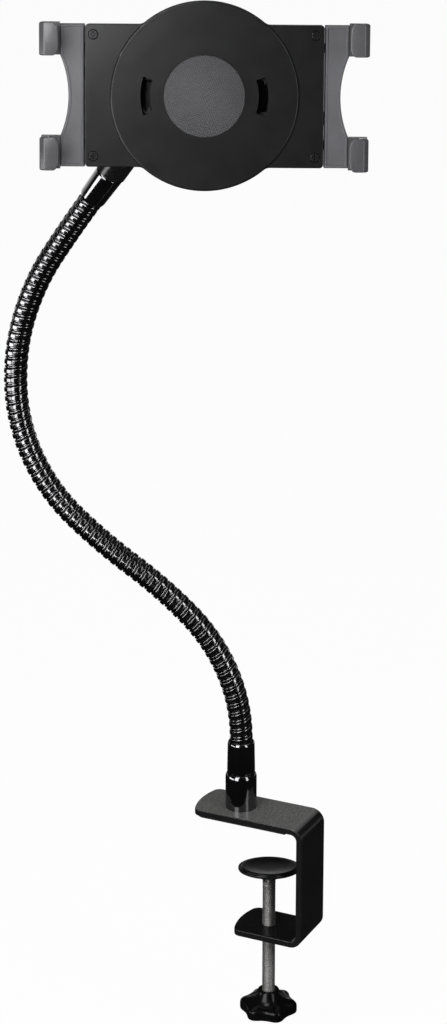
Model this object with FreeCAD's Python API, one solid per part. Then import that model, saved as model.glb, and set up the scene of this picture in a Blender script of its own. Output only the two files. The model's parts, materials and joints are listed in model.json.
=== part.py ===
"""Tablet arm mount: a desk clamp, a ribbed gooseneck and a sprung tablet holder.

Lengths are in millimetres and angles in degrees. Z is up and the holder faces -Y. The origin lies
on the gooseneck's base axis, level with the face of the clamp's desk pad. The clamp, the screw,
the knuckle and the holder are each drawn in a frame of their own and then placed.
"""
import FreeCAD
import Part
import math
import os

from FreeCAD import Placement, Rotation, Vector

# Clearances
FIT = 0.05  # all round a pin or a screw in its hole
RUN = 0.3  # between faces that slide or turn past each other
PIVOT_PLAY = 0.1  # between the tilt pivot's washers and the faces that turn on them
SIDE_PLAY = 0.2  # in front of the pinion and behind it
LAP = 1.0  # how far a shape runs past a face that it cuts or is joined to

# Clamp bracket, in its own frame: X runs from the tips of its arms to its web
STRIP_WIDTH = 33.5
STRIP_THICKNESS = 4.0
CLAMP_HEIGHT = 79.9  # over both arms
CLAMP_TURN = -25.5  # how far the bracket is turned about Z
WEB_REACH = 48.3  # from the gooseneck's axis to the outside of the web
UPPER_ARM_REACH = 23.4
LOWER_TIP = 3.2
TIP_BULGE = 3.5
TIP_CORNER = 5.0
BEND_RADIUS = 8.0
DESK_PAD_THICKNESS = 1.5
DESK_PAD_INSET = 1.5

# Clamp screw and its swivel foot
SCREW_REACH = 19.1  # from the gooseneck's axis
SCREW_RADIUS = 4.0
SCREW_NOSE_RADIUS = 1.3
SCREW_NOSE_LENGTH = 6.8
SCREW_IN_KNOB = 13.5
FOOT_DROP = 31.2  # from the desk pad's face to the middle of the foot's face
FOOT_RADIUS = 19.0
FOOT_TILT = 7.6
FOOT_RIM = 1.5
FOOT_RIM_DEPTH = 2.0
FOOT_DISC_THICKNESS = 4.4  # from the rim's edge to where the dished underside meets the boss
FOOT_RUBBER_THICKNESS = 1.4
FOOT_RUBBER_PROUD = 0.6
FOOT_BOSS_RADIUS = 7.0
FOOT_BOSS_END_RADIUS = 5.8
FOOT_BOSS_LENGTH = 2.7
BALL_RADIUS = 3.4
BALL_DROP = 5.8  # from the foot's face to the ball's centre
BALL_NECK_RADIUS = 2.1
BALL_COLLAR_RADIUS = 4.0
BALL_COLLAR_THICKNESS = 1.6
RETAINER_RADIUS = 4.6
SHOULDER_DROP = 5.6  # from the ball's centre to the screw's shoulder

# Star knob
KNOB_DROP = 94.0  # from the ball's centre to the bottom of the knob
KNOB_LOBES = 6
KNOB_TURN = 15.5  # how far the first lobe is turned from the bracket's own X
KNOB_RADIUS = 17.9
KNOB_VALLEY_RADIUS = 14.3
KNOB_POINTS_PER_LOBE = 8
KNOB_THICKNESS = 7.0
KNOB_EDGE = 1.5
KNOB_HUB_HEIGHT = 8.0
KNOB_HUB_BOTTOM_RADIUS = 12.3
KNOB_HUB_TOP_RADIUS = 6.3

# Socket and ferrules that hold the gooseneck's ends
SOCKET_RADIUS = 9.5
SOCKET_HEIGHT = 23.0
SPIGOT_RADIUS = 6.0
SPIGOT_LENGTH = 10.0
BASE_SCREW_RADIUS = 3.0
BASE_SCREW_HEAD_RADIUS = 6.0
BASE_SCREW_HEAD_DEPTH = 3.0
BASE_SCREW_LENGTH = 11.5
BASE_SCREW_KEY_RADIUS = 1.8
BASE_SCREW_KEY_DEPTH = 1.8
BASE_FERRULE_RADIUS = 8.5
BASE_FERRULE_HEIGHT = 20.9
BASE_FERRULE_TAPER = 0.4
EDGE_CHAMFER = 0.8
BASE_FERRULE_DEPTH = 15.1  # how far the gooseneck goes into the lower ferrule
FERRULE_DEPTH = 13.0  # and into the upper one
TOP_FERRULE_LENGTH = 22.0
TOP_FERRULE_MOUTH_RADIUS = 7.7
TOP_FERRULE_END_RADIUS = 8.3

# Gooseneck: ribbed lengths, each an arc, that bend on each other
NECK_CREST_RADIUS = 7.0
NECK_VALLEY_RADIUS = 6.0
NECK_BORE_RADIUS = 3.5
RIB_PITCH = 5.5
RIBS_PER_SECTION = 8
STRAIGHT_RIBS = 3
RIB_FOOT = 0.12  # where a rib's foot and its crest start, as shares of the pitch
RIB_SHOULDER = 0.26
LINK_BALL_RADIUS = 5.0
LINK_CLEARANCE = 0.15
LINK_CONE = 9.5  # slope of the faces either side of a link, for 15 degrees of bend
# How far each length bends left and back, seen from the front, from the base up
NECK_BENDS = [(22, 3), (22, 4), (10, 5), (-7, 1), (-22, -1), (-24, -6), (-19, -8), (-15, -8), (-2, -7)]

# Knuckle behind the holder
KNUCKLE_REACH = 101.25  # from the mouth of the top ferrule to the tilt pivot
KNUCKLE_COLLAR_RADIUS = 8.75
KNUCKLE_COLLAR_LENGTH = 14.0
KNUCKLE_SPIGOT_RADIUS = 4.0
KNUCKLE_SPIGOT_LENGTH = 8.0
KNUCKLE_ROD_START_RADIUS = 7.5
KNUCKLE_ROD_END_RADIUS = 5.8
EYE_RADIUS = 9.0
EYE_THICKNESS = 12.0
LUG_THICKNESS = 8.0
LUG_BASE_HALF = 12.0
PIVOT_DEPTH = 34.0  # behind the holder's front face
PIVOT_OFFSET = 16.0  # from the eye's middle to the holder's turning axis
TILT_BOLT_RADIUS = 3.0
TILT_BOLT_HEAD_RADIUS = 5.5
TILT_BOLT_HEAD_THICKNESS = 4.0
TILT_WASHER_RADIUS = 8.0
FRICTION_WASHER_THICKNESS = 0.5
TILT_WASHER_THICKNESS = 1.0
TILT_KNOB_RADIUS = 11.0
TILT_KNOB_THICKNESS = 12.0
TILT_KNOB_FLUTES = 8
TILT_KNOB_FLUTE_RADIUS = 2.2
TILT_BOLT_IN_KNOB = 9.0

# Holder, in its own frame: X right, Y back, Z up, origin at the middle of its front disc
FACE_TILT = 9.6  # how far the holder leans back
FACE_ROLL = 0.4  # how far it has turned on its hub
BODY_HALF_WIDTH = 64.5
BODY_HALF_HEIGHT = 38.3
DISC_RADIUS = 51.0
BODY_CORNER = 2.0
DISC_BLEND = 5.4
DISC_THICKNESS = 1.5
DISC_EDGE = 1.0
FRONT_DEPTH = 7.5  # front housing, front to back
REAR_DEPTH = 7.0
WALL = 2.0
REAR_EDGE = 2.0
CENTRE_PAD_RADIUS = 22.0
CENTRE_PAD_SEAT = 0.9
CENTRE_PAD_PROUD = 0.8
SLOT_RADIUS = 31.95  # to the middle of the arc slots, which go through disc and housing
SLOT_WIDTH = 5.2
SLOT_HALF_SPAN = 17.6
SCREW_SIDE_INSET = 4.5  # from the body's side to the screws
SCREW_TOP_INSET = 5.7
SCREW_BOSS_RADIUS = 4.0
BODY_SCREW_RADIUS = 1.45
BODY_SCREW_HEAD_RADIUS = 2.7
BODY_SCREW_HEAD_THICKNESS = 1.8
BODY_SCREW_SEAT = 2.4  # depth of the seat for its head, from the housing's face
BODY_SCREW_LENGTH = 8.6
CROSS_WIDTH = 0.8
CROSS_LENGTH = 3.2
CROSS_DEPTH = 1.0

# Sliding arms and their claws; the right arm is the left one turned about the holder's Y axis
ARM_TRAVEL = 35.0
ARM_GAP = 0.4  # between arm and body when closed
ARM_DEPTH = 8.0
ARM_FRONT = 5.0  # front of the arm's frame
PANEL_THICKNESS = 2.0
PANEL_EDGE = 0.6
PANEL_BORDER = 1.6
PANEL_RECESS = 0.4
PANEL_WIDTH = 13.1  # from the arm's inner edge to the claws
CLAW_WIDTH = 10.4
CLAW_HEIGHT = 16.6  # of the arm's plate behind a claw
CLAW_WALL = 1.6  # thickness of the hook inside a claw
CLAW_FRONT = -12.2  # front end of the hook
CLAW_PROUD = 1.1  # how far the rubber stands past the arm's end
CLAW_CORNER = 4.5
CLAW_BEVEL = 2.5
PAD_SKIN = 1.2  # rubber over the hook's outer side
PAD_LIP = 3.3
PAD_WALL = 2.0
PAD_PROUD = 2.3  # rubber in front of the hook
ARM_HOLLOW_SHARE = 0.343  # how deep the arm's outer edge curves in, as a share of the panel's width
GUIDE_TO_BOSS = 0.1  # from a guide bar to the screws' bosses
GUIDE_WIDTH = 5.0
GUIDE_INNER_END = 12.0
BAR_FRONT = 6.0
BAR_THICKNESS = 6.0
RIB_THICKNESS = 1.1

# Rack and pinion that keep the arms in step
MODULE = 1.0
PINION_TEETH = 14
PRESSURE_ANGLE = 20.0
BACKLASH = 0.2
PINION_THICKNESS = 5.4
PINION_DEDENDUM = 1.15
RACK_ADDENDUM = 0.8
RACK_DEDENDUM = 1.25
RACK_TO_SPRING = 1.8
RACK_BEYOND = 6.0  # how far the rack still reaches past the pinion when the arm is out
PINION_PIN_RADIUS = 2.0
PINION_PIN_HEAD_RADIUS = 3.0
PINION_PIN_HEAD_THICKNESS = 0.5
PINION_BOSS_RADIUS = 4.5

# Return springs
SPRING_TO_GUIDE = 1.6
SPRING_RADIUS = 2.4
SPRING_POST_X = 26.0
SPRING_POST_RADIUS = 1.4
SPRING_EYE_RADIUS = 2.4
SPRING_EYE_THICKNESS = 1.0
SPRING_EYE_NECK = 1.0
SPRING_SET_BACK = 0.5  # of its middle, behind the bars' own
SPRING_LUG_THICKNESS = 2.0

# Turning hub on the holder's back
HUB_RADIUS = 22.0
HUB_DISC_THICKNESS = 4.1
HUB_SPIGOT_RADIUS = 10.0
HUB_BORE_RADIUS = 7.0
HUB_WASHER_THICKNESS = 0.6
CLIP_RADIUS = 13.0
CLIP_THICKNESS = 0.8
CLIP_GAP = 4.0
CLIP_GROOVE_DEPTH = 0.85

# Derived places
STRIP_TOP = DESK_PAD_THICKNESS + STRIP_THICKNESS
LOWER_ARM_BOTTOM = STRIP_TOP - CLAMP_HEIGHT
SOCKET_TOP = STRIP_TOP + SOCKET_HEIGHT
BASE_FERRULE_TOP = SOCKET_TOP + BASE_FERRULE_HEIGHT
NECK_FLOOR = BASE_FERRULE_TOP - BASE_FERRULE_DEPTH
BALL_Z = -FOOT_DROP - BALL_DROP
SHOULDER_Z = BALL_Z - SHOULDER_DROP
KNOB_BOTTOM = BALL_Z - KNOB_DROP
SECTION_LENGTH = RIBS_PER_SECTION * RIB_PITCH
STRAIGHT_LENGTH = STRAIGHT_RIBS * RIB_PITCH
NECK_LENGTH = 2 * STRAIGHT_LENGTH + len(NECK_BENDS) * SECTION_LENGTH
FRONT_FACE = DISC_THICKNESS
SPLIT = FRONT_FACE + FRONT_DEPTH
BACK_FACE = SPLIT + REAR_DEPTH
BAR_BACK = BAR_FRONT + BAR_THICKNESS
SCREW_X = BODY_HALF_WIDTH - SCREW_SIDE_INSET
SCREW_Z = BODY_HALF_HEIGHT - SCREW_TOP_INSET
GUIDE_Z = SCREW_Z - SCREW_BOSS_RADIUS - GUIDE_TO_BOSS - GUIDE_WIDTH / 2
SPRING_Z = GUIDE_Z - GUIDE_WIDTH / 2 - SPRING_TO_GUIDE - SPRING_RADIUS
RACK_TOP = SPRING_Z - SPRING_RADIUS - RACK_TO_SPRING
ARM_INNER = BODY_HALF_WIDTH + ARM_GAP
CLAW_REACH = ARM_INNER + PANEL_WIDTH + CLAW_WIDTH
ARM_HOLLOW = ARM_HOLLOW_SHARE * PANEL_WIDTH
ARM_BACK = ARM_FRONT + ARM_DEPTH
PANEL_FRONT = ARM_FRONT - PANEL_THICKNESS
PITCH_RADIUS = MODULE * PINION_TEETH / 2
PINION_FRONT = BAR_FRONT + SIDE_PLAY
PINION_BACK = PINION_FRONT + PINION_THICKNESS
RACK_END = ARM_TRAVEL + RACK_BEYOND
HUB_WASHER_FRONT = BACK_FACE + RUN
HUB_FRONT = HUB_WASHER_FRONT + HUB_WASHER_THICKNESS
LUG_NEAR = EYE_THICKNESS / 2 + FRICTION_WASHER_THICKNESS + PIVOT_PLAY
LUG_FAR = LUG_NEAR + LUG_THICKNESS
TILT_KNOB_NEAR = LUG_FAR + TILT_WASHER_THICKNESS + PIVOT_PLAY


def block(x_range, y_range, z_range):
    """A box between these limits, in any order."""
    lows = [min(pair) for pair in (x_range, y_range, z_range)]
    sizes = [abs(pair[1] - pair[0]) for pair in (x_range, y_range, z_range)]
    return Part.makeBox(*sizes, Vector(*lows))


def post_z(radius, bottom, top, x=0.0, y=0.0):
    """A cylinder along Z."""
    return Part.makeCylinder(radius, top - bottom, Vector(x, y, bottom))


def post_y(radius, front, back, x=0.0, z=0.0):
    """A cylinder along Y."""
    return Part.makeCylinder(radius, back - front, Vector(x, front, z), Vector(0, 1, 0))


def post_x(radius, start, end, y=0.0, z=0.0):
    """A cylinder along X."""
    return Part.makeCylinder(radius, end - start, Vector(start, y, z), Vector(1, 0, 0))


def lathe(profile):
    """A solid turned about Z from (radius, height) corners."""
    corners = [Vector(radius, 0, height) for radius, height in profile]
    face = Part.Face(Part.makePolygon(corners + corners[:1]))
    return face.revolve(Vector(0, 0, 0), Vector(0, 0, 1), 360)


def plate_y(edges, front, back):
    """A plate between two Y planes whose outline is made of edges in the XZ plane."""
    face = Part.Face(Part.Wire(Part.sortEdges(edges)[0]))
    face.translate(Vector(0, front, 0))
    return face.extrude(Vector(0, back - front, 0))


def outline(corners):
    """A closed run of edges in the XZ plane through (x, z) corners.

    A corner given as (middle x, middle z, x, z) is reached by an arc through that middle.
    """
    edges = []
    for first, second in zip(corners, corners[1:] + corners[:1]):
        start = Vector(first[-2], 0, first[-1])
        end = Vector(second[-2], 0, second[-1])
        if len(second) == 4:
            middle = Vector(second[0], 0, second[1])
            edges.append(Part.Arc(start, middle, end).toShape())
        else:
            edges.append(Part.LineSegment(start, end).toShape())
    return edges


def edges_along(shape, direction, places, tolerance=0.05):
    """Straight edges of a shape that run this way through places given without that direction."""
    axis = "XYZ".index(direction)
    others = [i for i in range(3) if i != axis]
    found = []
    for edge in shape.Edges:
        ends = [vertex.Point for vertex in edge.Vertexes]
        if len(ends) != 2 or edge.Curve.TypeId != "Part::GeomLine":
            continue
        if any(abs(ends[0][i] - ends[1][i]) > tolerance for i in others):
            continue
        for place in places:
            if all(abs(ends[0][i] - p) < tolerance for i, p in zip(others, place)):
                found.append(edge)
    return found


def edges_at_y(shape, y, tolerance=0.01):
    """Edges of a shape that lie wholly in one Y plane."""
    boxes = [(edge, edge.BoundBox) for edge in shape.Edges]
    return [edge for edge, box in boxes if max(abs(box.YMin - y), abs(box.YMax - y)) < tolerance]


def frame(origin, x_axis, z_axis):
    """A placement at this origin with these X and Z axes."""
    return Placement(origin, Rotation(x_axis, z_axis.cross(x_axis), z_axis, "ZXY"))


def placed(shapes, placement):
    """Copies of named shapes, moved from their own frame into the row's."""
    moved = {}
    for name, shape in shapes.items():
        copy = shape.copy()
        copy.Placement = placement.multiply(copy.Placement)
        moved[name] = copy
    return moved


# Clamp


def arm_plan(tip, bottom, top, inset=0.0):
    """The clamp strip seen from above, from a curved tip to past the web, as a prism."""
    half = STRIP_WIDTH / 2 - inset
    far = WEB_REACH + LAP
    near = tip + inset
    lines = [
        Part.LineSegment(Vector(far, -half, bottom), Vector(near, -half, bottom)),
        Part.Arc(
            Vector(near, -half, bottom), Vector(near - TIP_BULGE, 0, bottom), Vector(near, half, bottom)
        ),
        Part.LineSegment(Vector(near, half, bottom), Vector(far, half, bottom)),
        Part.LineSegment(Vector(far, half, bottom), Vector(far, -half, bottom)),
    ]
    prism = Part.Face(Part.Wire([line.toShape() for line in lines])).extrude(Vector(0, 0, top - bottom))
    return prism.makeFillet(TIP_CORNER, edges_along(prism, "Z", [(near, -half), (near, half)]))


def clamp_bracket():
    """The C-shaped strip, with its tapped hole and the countersink for the base screw."""
    start = -UPPER_ARM_REACH - TIP_BULGE - LAP
    side = (-STRIP_WIDTH, STRIP_WIDTH)
    outer = block((start, WEB_REACH), side, (LOWER_ARM_BOTTOM, STRIP_TOP))
    corners = [(WEB_REACH, LOWER_ARM_BOTTOM), (WEB_REACH, STRIP_TOP)]
    outer = outer.makeFillet(BEND_RADIUS, edges_along(outer, "Y", corners))
    inner_x = WEB_REACH - STRIP_THICKNESS
    inner_low = LOWER_ARM_BOTTOM + STRIP_THICKNESS
    inner = block((start - LAP, inner_x), side, (inner_low, DESK_PAD_THICKNESS))
    corners = [(inner_x, inner_low), (inner_x, DESK_PAD_THICKNESS)]
    inner = inner.makeFillet(BEND_RADIUS - STRIP_THICKNESS, edges_along(inner, "Y", corners))
    strip = outer.cut(inner)
    middle = LOWER_ARM_BOTTOM / 2
    plan = arm_plan(-UPPER_ARM_REACH, middle, STRIP_TOP + LAP)
    plan = plan.fuse(arm_plan(LOWER_TIP, LOWER_ARM_BOTTOM - LAP, middle))
    strip = strip.common(plan).removeSplitter()
    strip = strip.cut(post_z(SCREW_RADIUS + FIT, LOWER_ARM_BOTTOM - LAP, inner_low + LAP, SCREW_REACH))
    return strip.cut(base_screw_form(FIT))


def base_screw_form(grow=0.0):
    """The countersunk screw under the socket, or with a clearance the hole for it."""
    head = BASE_SCREW_HEAD_RADIUS + grow
    shank = BASE_SCREW_RADIUS + grow
    bottom = DESK_PAD_THICKNESS
    neck = bottom + BASE_SCREW_HEAD_DEPTH
    top = bottom + BASE_SCREW_LENGTH + grow
    return lathe([(0, bottom), (head, bottom), (shank, neck), (shank, top), (0, top)])


def desk_pad():
    """The rubber pad under the upper arm."""
    pad = arm_plan(-UPPER_ARM_REACH, 0, DESK_PAD_THICKNESS, DESK_PAD_INSET)
    end = WEB_REACH - STRIP_THICKNESS - BEND_RADIUS
    return pad.common(block((-WEB_REACH, end), (-STRIP_WIDTH, STRIP_WIDTH), (-1, STRIP_TOP)))


def base_screw():
    """The countersunk screw with its round key socket, flush with the strip's underside."""
    socket = post_z(BASE_SCREW_KEY_RADIUS, 0, DESK_PAD_THICKNESS + BASE_SCREW_KEY_DEPTH)
    return base_screw_form().cut(socket)


def base_socket():
    """The turned socket on the bracket that the base ferrule screws into."""
    spigot = SPIGOT_RADIUS + FIT
    floor = SOCKET_TOP - SPIGOT_LENGTH - 2 * FIT
    body = lathe([
        (0, STRIP_TOP), (SOCKET_RADIUS, STRIP_TOP), (SOCKET_RADIUS, SOCKET_TOP - EDGE_CHAMFER),
        (SOCKET_RADIUS - EDGE_CHAMFER, SOCKET_TOP), (0, SOCKET_TOP),
    ])
    return body.cut(post_z(spigot, floor, SOCKET_TOP + LAP)).cut(base_screw_form(FIT))


def base_ferrule():
    """The ferrule crimped on the gooseneck's lower end."""
    top_radius = BASE_FERRULE_RADIUS - BASE_FERRULE_TAPER
    body = lathe([
        (0, SOCKET_TOP - SPIGOT_LENGTH), (SPIGOT_RADIUS, SOCKET_TOP - SPIGOT_LENGTH),
        (SPIGOT_RADIUS, SOCKET_TOP), (BASE_FERRULE_RADIUS, SOCKET_TOP),
        (top_radius, BASE_FERRULE_TOP), (0, BASE_FERRULE_TOP),
    ])
    return body.cut(post_z(NECK_CREST_RADIUS + FIT, NECK_FLOOR, BASE_FERRULE_TOP + LAP))


# Clamp screw, drawn about its own axis with Z as in the row


def foot_bearing():
    """The ball bush on the screw's nose that the foot swivels on."""
    collar_top = SHOULDER_Z + BALL_COLLAR_THICKNESS
    neck = post_z(BALL_NECK_RADIUS, collar_top, BALL_Z)
    collar = post_z(BALL_COLLAR_RADIUS, SHOULDER_Z, collar_top)
    ball = Part.makeSphere(BALL_RADIUS, Vector(0, 0, BALL_Z))
    hole = post_z(SCREW_NOSE_RADIUS + FIT, SHOULDER_Z - LAP, SHOULDER_Z + SCREW_NOSE_LENGTH + FIT)
    return ball.fuse([neck, collar]).removeSplitter().cut(hole)


def clamp_screw():
    """The clamp screw, from its plain nose to its end inside the knob."""
    end = KNOB_BOTTOM + KNOB_THICKNESS + KNOB_HUB_HEIGHT - SCREW_IN_KNOB
    nose_top = SHOULDER_Z + SCREW_NOSE_LENGTH
    chamfered = SCREW_RADIUS - EDGE_CHAMFER
    return lathe([
        (0, end), (chamfered, end), (SCREW_RADIUS, end + EDGE_CHAMFER),
        (SCREW_RADIUS, SHOULDER_Z - EDGE_CHAMFER), (chamfered, SHOULDER_Z),
        (SCREW_NOSE_RADIUS, SHOULDER_Z), (SCREW_NOSE_RADIUS, nose_top), (0, nose_top),
    ])


def star_outline():
    """The knob's edge seen from below: a closed curve that swings out at each lobe."""
    middle = (KNOB_RADIUS + KNOB_VALLEY_RADIUS) / 2
    swing = (KNOB_RADIUS - KNOB_VALLEY_RADIUS) / 2
    points = []
    steps = KNOB_LOBES * KNOB_POINTS_PER_LOBE
    for k in range(steps):
        radius = middle + swing * math.cos(2 * math.pi * k / KNOB_POINTS_PER_LOBE)
        angle = math.radians(KNOB_TURN) + 2 * math.pi * k / steps
        points.append(Vector(radius * math.cos(angle), radius * math.sin(angle), KNOB_BOTTOM))
    curve = Part.BSplineCurve()
    curve.interpolate(points, PeriodicFlag=True)
    return Part.Face(Part.Wire(curve.toShape()))


def star_knob():
    """The six-lobed knob moulded on the screw's lower end, with its conical hub."""
    star_top = KNOB_BOTTOM + KNOB_THICKNESS
    hub_top = star_top + KNOB_HUB_HEIGHT
    inner = KNOB_RADIUS - KNOB_EDGE
    star = star_outline().extrude(Vector(0, 0, KNOB_THICKNESS)).common(lathe([
        (0, KNOB_BOTTOM), (inner, KNOB_BOTTOM), (KNOB_RADIUS, KNOB_BOTTOM + KNOB_EDGE),
        (KNOB_RADIUS, star_top - KNOB_EDGE), (inner, star_top), (0, star_top),
    ]))
    hub = lathe([
        (0, star_top - LAP), (KNOB_HUB_BOTTOM_RADIUS, star_top - LAP), (KNOB_HUB_BOTTOM_RADIUS, star_top),
        (KNOB_HUB_TOP_RADIUS, hub_top), (0, hub_top),
    ])
    hole = post_z(SCREW_RADIUS + FIT, hub_top - SCREW_IN_KNOB - FIT, hub_top + LAP)
    return star.fuse(hub).removeSplitter().cut(hole)


# Swivel foot, drawn level with its face at the height that it has at rest


def foot_cup():
    """The foot's dished disc, with the boss that takes the ball."""
    face = -FOOT_DROP - FOOT_RUBBER_PROUD
    seat = -FOOT_DROP - FOOT_RUBBER_THICKNESS
    rim_bottom = face - FOOT_RIM_DEPTH
    bottom = face - FOOT_DISC_THICKNESS
    boss_bottom = bottom - FOOT_BOSS_LENGTH
    body = lathe([
        (0, boss_bottom), (FOOT_BOSS_END_RADIUS, boss_bottom), (FOOT_BOSS_RADIUS, bottom),
        (FOOT_RADIUS - EDGE_CHAMFER, rim_bottom), (FOOT_RADIUS, rim_bottom + EDGE_CHAMFER),
        (FOOT_RADIUS, face), (0, face),
    ])
    body = body.cut(post_z(FOOT_RADIUS - FOOT_RIM, seat, face + LAP))
    body = body.cut(Part.makeSphere(BALL_RADIUS + LINK_CLEARANCE, Vector(0, 0, BALL_Z)))
    return body.cut(post_z(RETAINER_RADIUS + FIT, boss_bottom - LAP, BALL_Z))


def foot_retainer():
    """The ring pressed into the boss, which keeps the ball in."""
    bottom = -FOOT_DROP - FOOT_RUBBER_PROUD - FOOT_DISC_THICKNESS - FOOT_BOSS_LENGTH
    ring = post_z(RETAINER_RADIUS, bottom, BALL_Z - FIT)
    return ring.cut(Part.makeSphere(BALL_RADIUS + LINK_CLEARANCE, Vector(0, 0, BALL_Z)))


def foot_rubber():
    """The rubber disc that presses on the desk from below."""
    bottom = -FOOT_DROP - FOOT_RUBBER_THICKNESS
    return post_z(FOOT_RADIUS - FOOT_RIM - FIT, bottom, -FOOT_DROP)


# Gooseneck


class Station:
    """A place along the gooseneck: where it is, which way it runs, and what is left and back."""

    def __init__(self, point, ahead, left, back):
        self.point = point
        self.ahead = ahead
        self.left = left
        self.back = back

    def further(self, length, bend_left=0.0, bend_back=0.0):
        """The station at the end of an arc from here, or of a straight if nothing bends."""
        angle = math.hypot(bend_left, bend_back)
        if angle == 0:
            return Station(self.point + self.ahead * length, self.ahead, self.left, self.back)
        toward = self.left * (bend_left / angle) + self.back * (bend_back / angle)
        turn = Rotation(self.ahead.cross(toward), angle)
        radius = length / math.radians(angle)
        along = self.ahead * (radius * math.sin(math.radians(angle)))
        across = toward * (radius * (1 - math.cos(math.radians(angle))))
        ahead, left, back = [turn.multVec(axis) for axis in (self.ahead, self.left, self.back)]
        return Station(self.point + along + across, ahead, left, back)

    def placement(self):
        """The frame here, with Z ahead and X to the left."""
        return frame(self.point, self.left, self.ahead)


def neck_station(distance):
    """The station this far along the gooseneck from the floor of the base ferrule."""
    here = Station(Vector(0, 0, NECK_FLOOR), Vector(0, 0, 1), Vector(-1, 0, 0), Vector(0, 1, 0))
    if distance <= STRAIGHT_LENGTH:
        return here.further(distance)
    here = here.further(STRAIGHT_LENGTH)
    left_over = distance - STRAIGHT_LENGTH
    for bend_left, bend_back in NECK_BENDS:
        run = min(left_over, SECTION_LENGTH)
        share = run / SECTION_LENGTH
        here = here.further(run, bend_left * share, bend_back * share)
        left_over -= run
        if left_over <= 0:
            return here
    return here.further(left_over)


def link_distance(index):
    """How far along the gooseneck the link at the top of a length is, counting lengths from 0."""
    return STRAIGHT_LENGTH + (index + 1) * SECTION_LENGTH


def ring(station, radius):
    """A circle round the gooseneck's line, with its X axis kept steady along the line."""
    wire = Part.Wire(Part.Circle(Vector(0, 0, 0), Vector(0, 0, 1), radius).toShape())
    wire.Placement = station.placement()
    return wire


def neck_section(index):
    """One ribbed, bored length, with a ball at its lower end and a cup at its upper end."""
    first = index == 0
    last = index == len(NECK_BENDS) - 1
    start = 0.0 if first else link_distance(index - 1)
    end = NECK_LENGTH if last else link_distance(index)
    ribs = round((end - start) / RIB_PITCH)
    rings = [ring(neck_station(start), NECK_VALLEY_RADIUS)]
    for k in range(ribs):
        for share, radius in (
            (RIB_FOOT, NECK_VALLEY_RADIUS), (RIB_SHOULDER, NECK_CREST_RADIUS),
            (1 - RIB_SHOULDER, NECK_CREST_RADIUS), (1 - RIB_FOOT, NECK_VALLEY_RADIUS),
        ):
            rings.append(ring(neck_station(start + (k + share) * RIB_PITCH), radius))
    rings.append(ring(neck_station(end), NECK_VALLEY_RADIUS))
    body = Part.makeLoft(rings, True, True)
    slope = math.tan(math.radians(LINK_CONE))
    wide = 2 * NECK_CREST_RADIUS
    low, high = neck_station(start), neck_station(end)
    if not first:
        cone = lathe([(0, -wide), (wide, -wide), (wide, wide * slope), (0, 0)])
        cone.Placement = low.placement()
        body = body.cut(cone).fuse(Part.makeSphere(LINK_BALL_RADIUS, low.point))
    if not last:
        cone = lathe([(0, 0), (wide, -wide * slope), (wide, wide), (0, wide)])
        cone.Placement = high.placement()
        body = body.cut(cone).cut(Part.makeSphere(LINK_BALL_RADIUS + LINK_CLEARANCE, high.point))
    through = [low.further(-wide / 2)]
    through += [neck_station(start + k * RIB_PITCH) for k in range(ribs + 1)]
    through += [high.further(wide / 2)]
    bore = Part.makeLoft([ring(station, NECK_BORE_RADIUS) for station in through], True, True)
    return body.cut(bore)


# Top ferrule and knuckle arm, drawn from the ferrule's mouth along Z with the tilt axis as X


def top_ferrule():
    """The ferrule on the gooseneck's upper end."""
    body = lathe([
        (0, 0), (TOP_FERRULE_MOUTH_RADIUS, 0), (TOP_FERRULE_END_RADIUS, TOP_FERRULE_LENGTH),
        (0, TOP_FERRULE_LENGTH),
    ])
    body = body.cut(post_z(NECK_CREST_RADIUS + FIT, -1, FERRULE_DEPTH))
    spigot_floor = TOP_FERRULE_LENGTH - KNUCKLE_SPIGOT_LENGTH - FIT
    return body.cut(post_z(KNUCKLE_SPIGOT_RADIUS + FIT, spigot_floor, TOP_FERRULE_LENGTH + LAP))


def knuckle_arm():
    """The arm from the top ferrule to the tilt pivot: spigot, collar, tapered rod and flat eye."""
    spigot = TOP_FERRULE_LENGTH - KNUCKLE_SPIGOT_LENGTH
    collar_end = TOP_FERRULE_LENGTH + KNUCKLE_COLLAR_LENGTH
    chamfered = KNUCKLE_COLLAR_RADIUS - EDGE_CHAMFER
    body = lathe([
        (0, spigot), (KNUCKLE_SPIGOT_RADIUS, spigot), (KNUCKLE_SPIGOT_RADIUS, TOP_FERRULE_LENGTH),
        (chamfered, TOP_FERRULE_LENGTH), (KNUCKLE_COLLAR_RADIUS, TOP_FERRULE_LENGTH + EDGE_CHAMFER),
        (KNUCKLE_COLLAR_RADIUS, collar_end - EDGE_CHAMFER), (chamfered, collar_end),
        (KNUCKLE_ROD_START_RADIUS, collar_end), (KNUCKLE_ROD_END_RADIUS, KNUCKLE_REACH - EYE_RADIUS),
        (KNUCKLE_ROD_END_RADIUS, KNUCKLE_REACH), (0, KNUCKLE_REACH),
    ])
    half = EYE_THICKNESS / 2
    eye = post_x(EYE_RADIUS, -half, half, 0, KNUCKLE_REACH)
    body = body.fuse(eye).removeSplitter()
    bolt = TILT_BOLT_RADIUS + FIT
    head = TILT_BOLT_HEAD_RADIUS + FIT
    body = body.cut(post_x(bolt, -EYE_THICKNESS, EYE_THICKNESS, 0, KNUCKLE_REACH))
    return body.cut(post_x(head, -EYE_THICKNESS, -half + TILT_BOLT_HEAD_THICKNESS, 0, KNUCKLE_REACH))


def tilt_bolt():
    """The pivot bolt, with its head sunk in the eye."""
    half = EYE_THICKNESS / 2
    under_head = -half + TILT_BOLT_HEAD_THICKNESS
    head = post_x(TILT_BOLT_HEAD_RADIUS, -half, under_head, 0, KNUCKLE_REACH)
    end = TILT_KNOB_NEAR + TILT_BOLT_IN_KNOB
    shank = post_x(TILT_BOLT_RADIUS, under_head, end, 0, KNUCKLE_REACH)
    return head.fuse(shank).removeSplitter()


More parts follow.
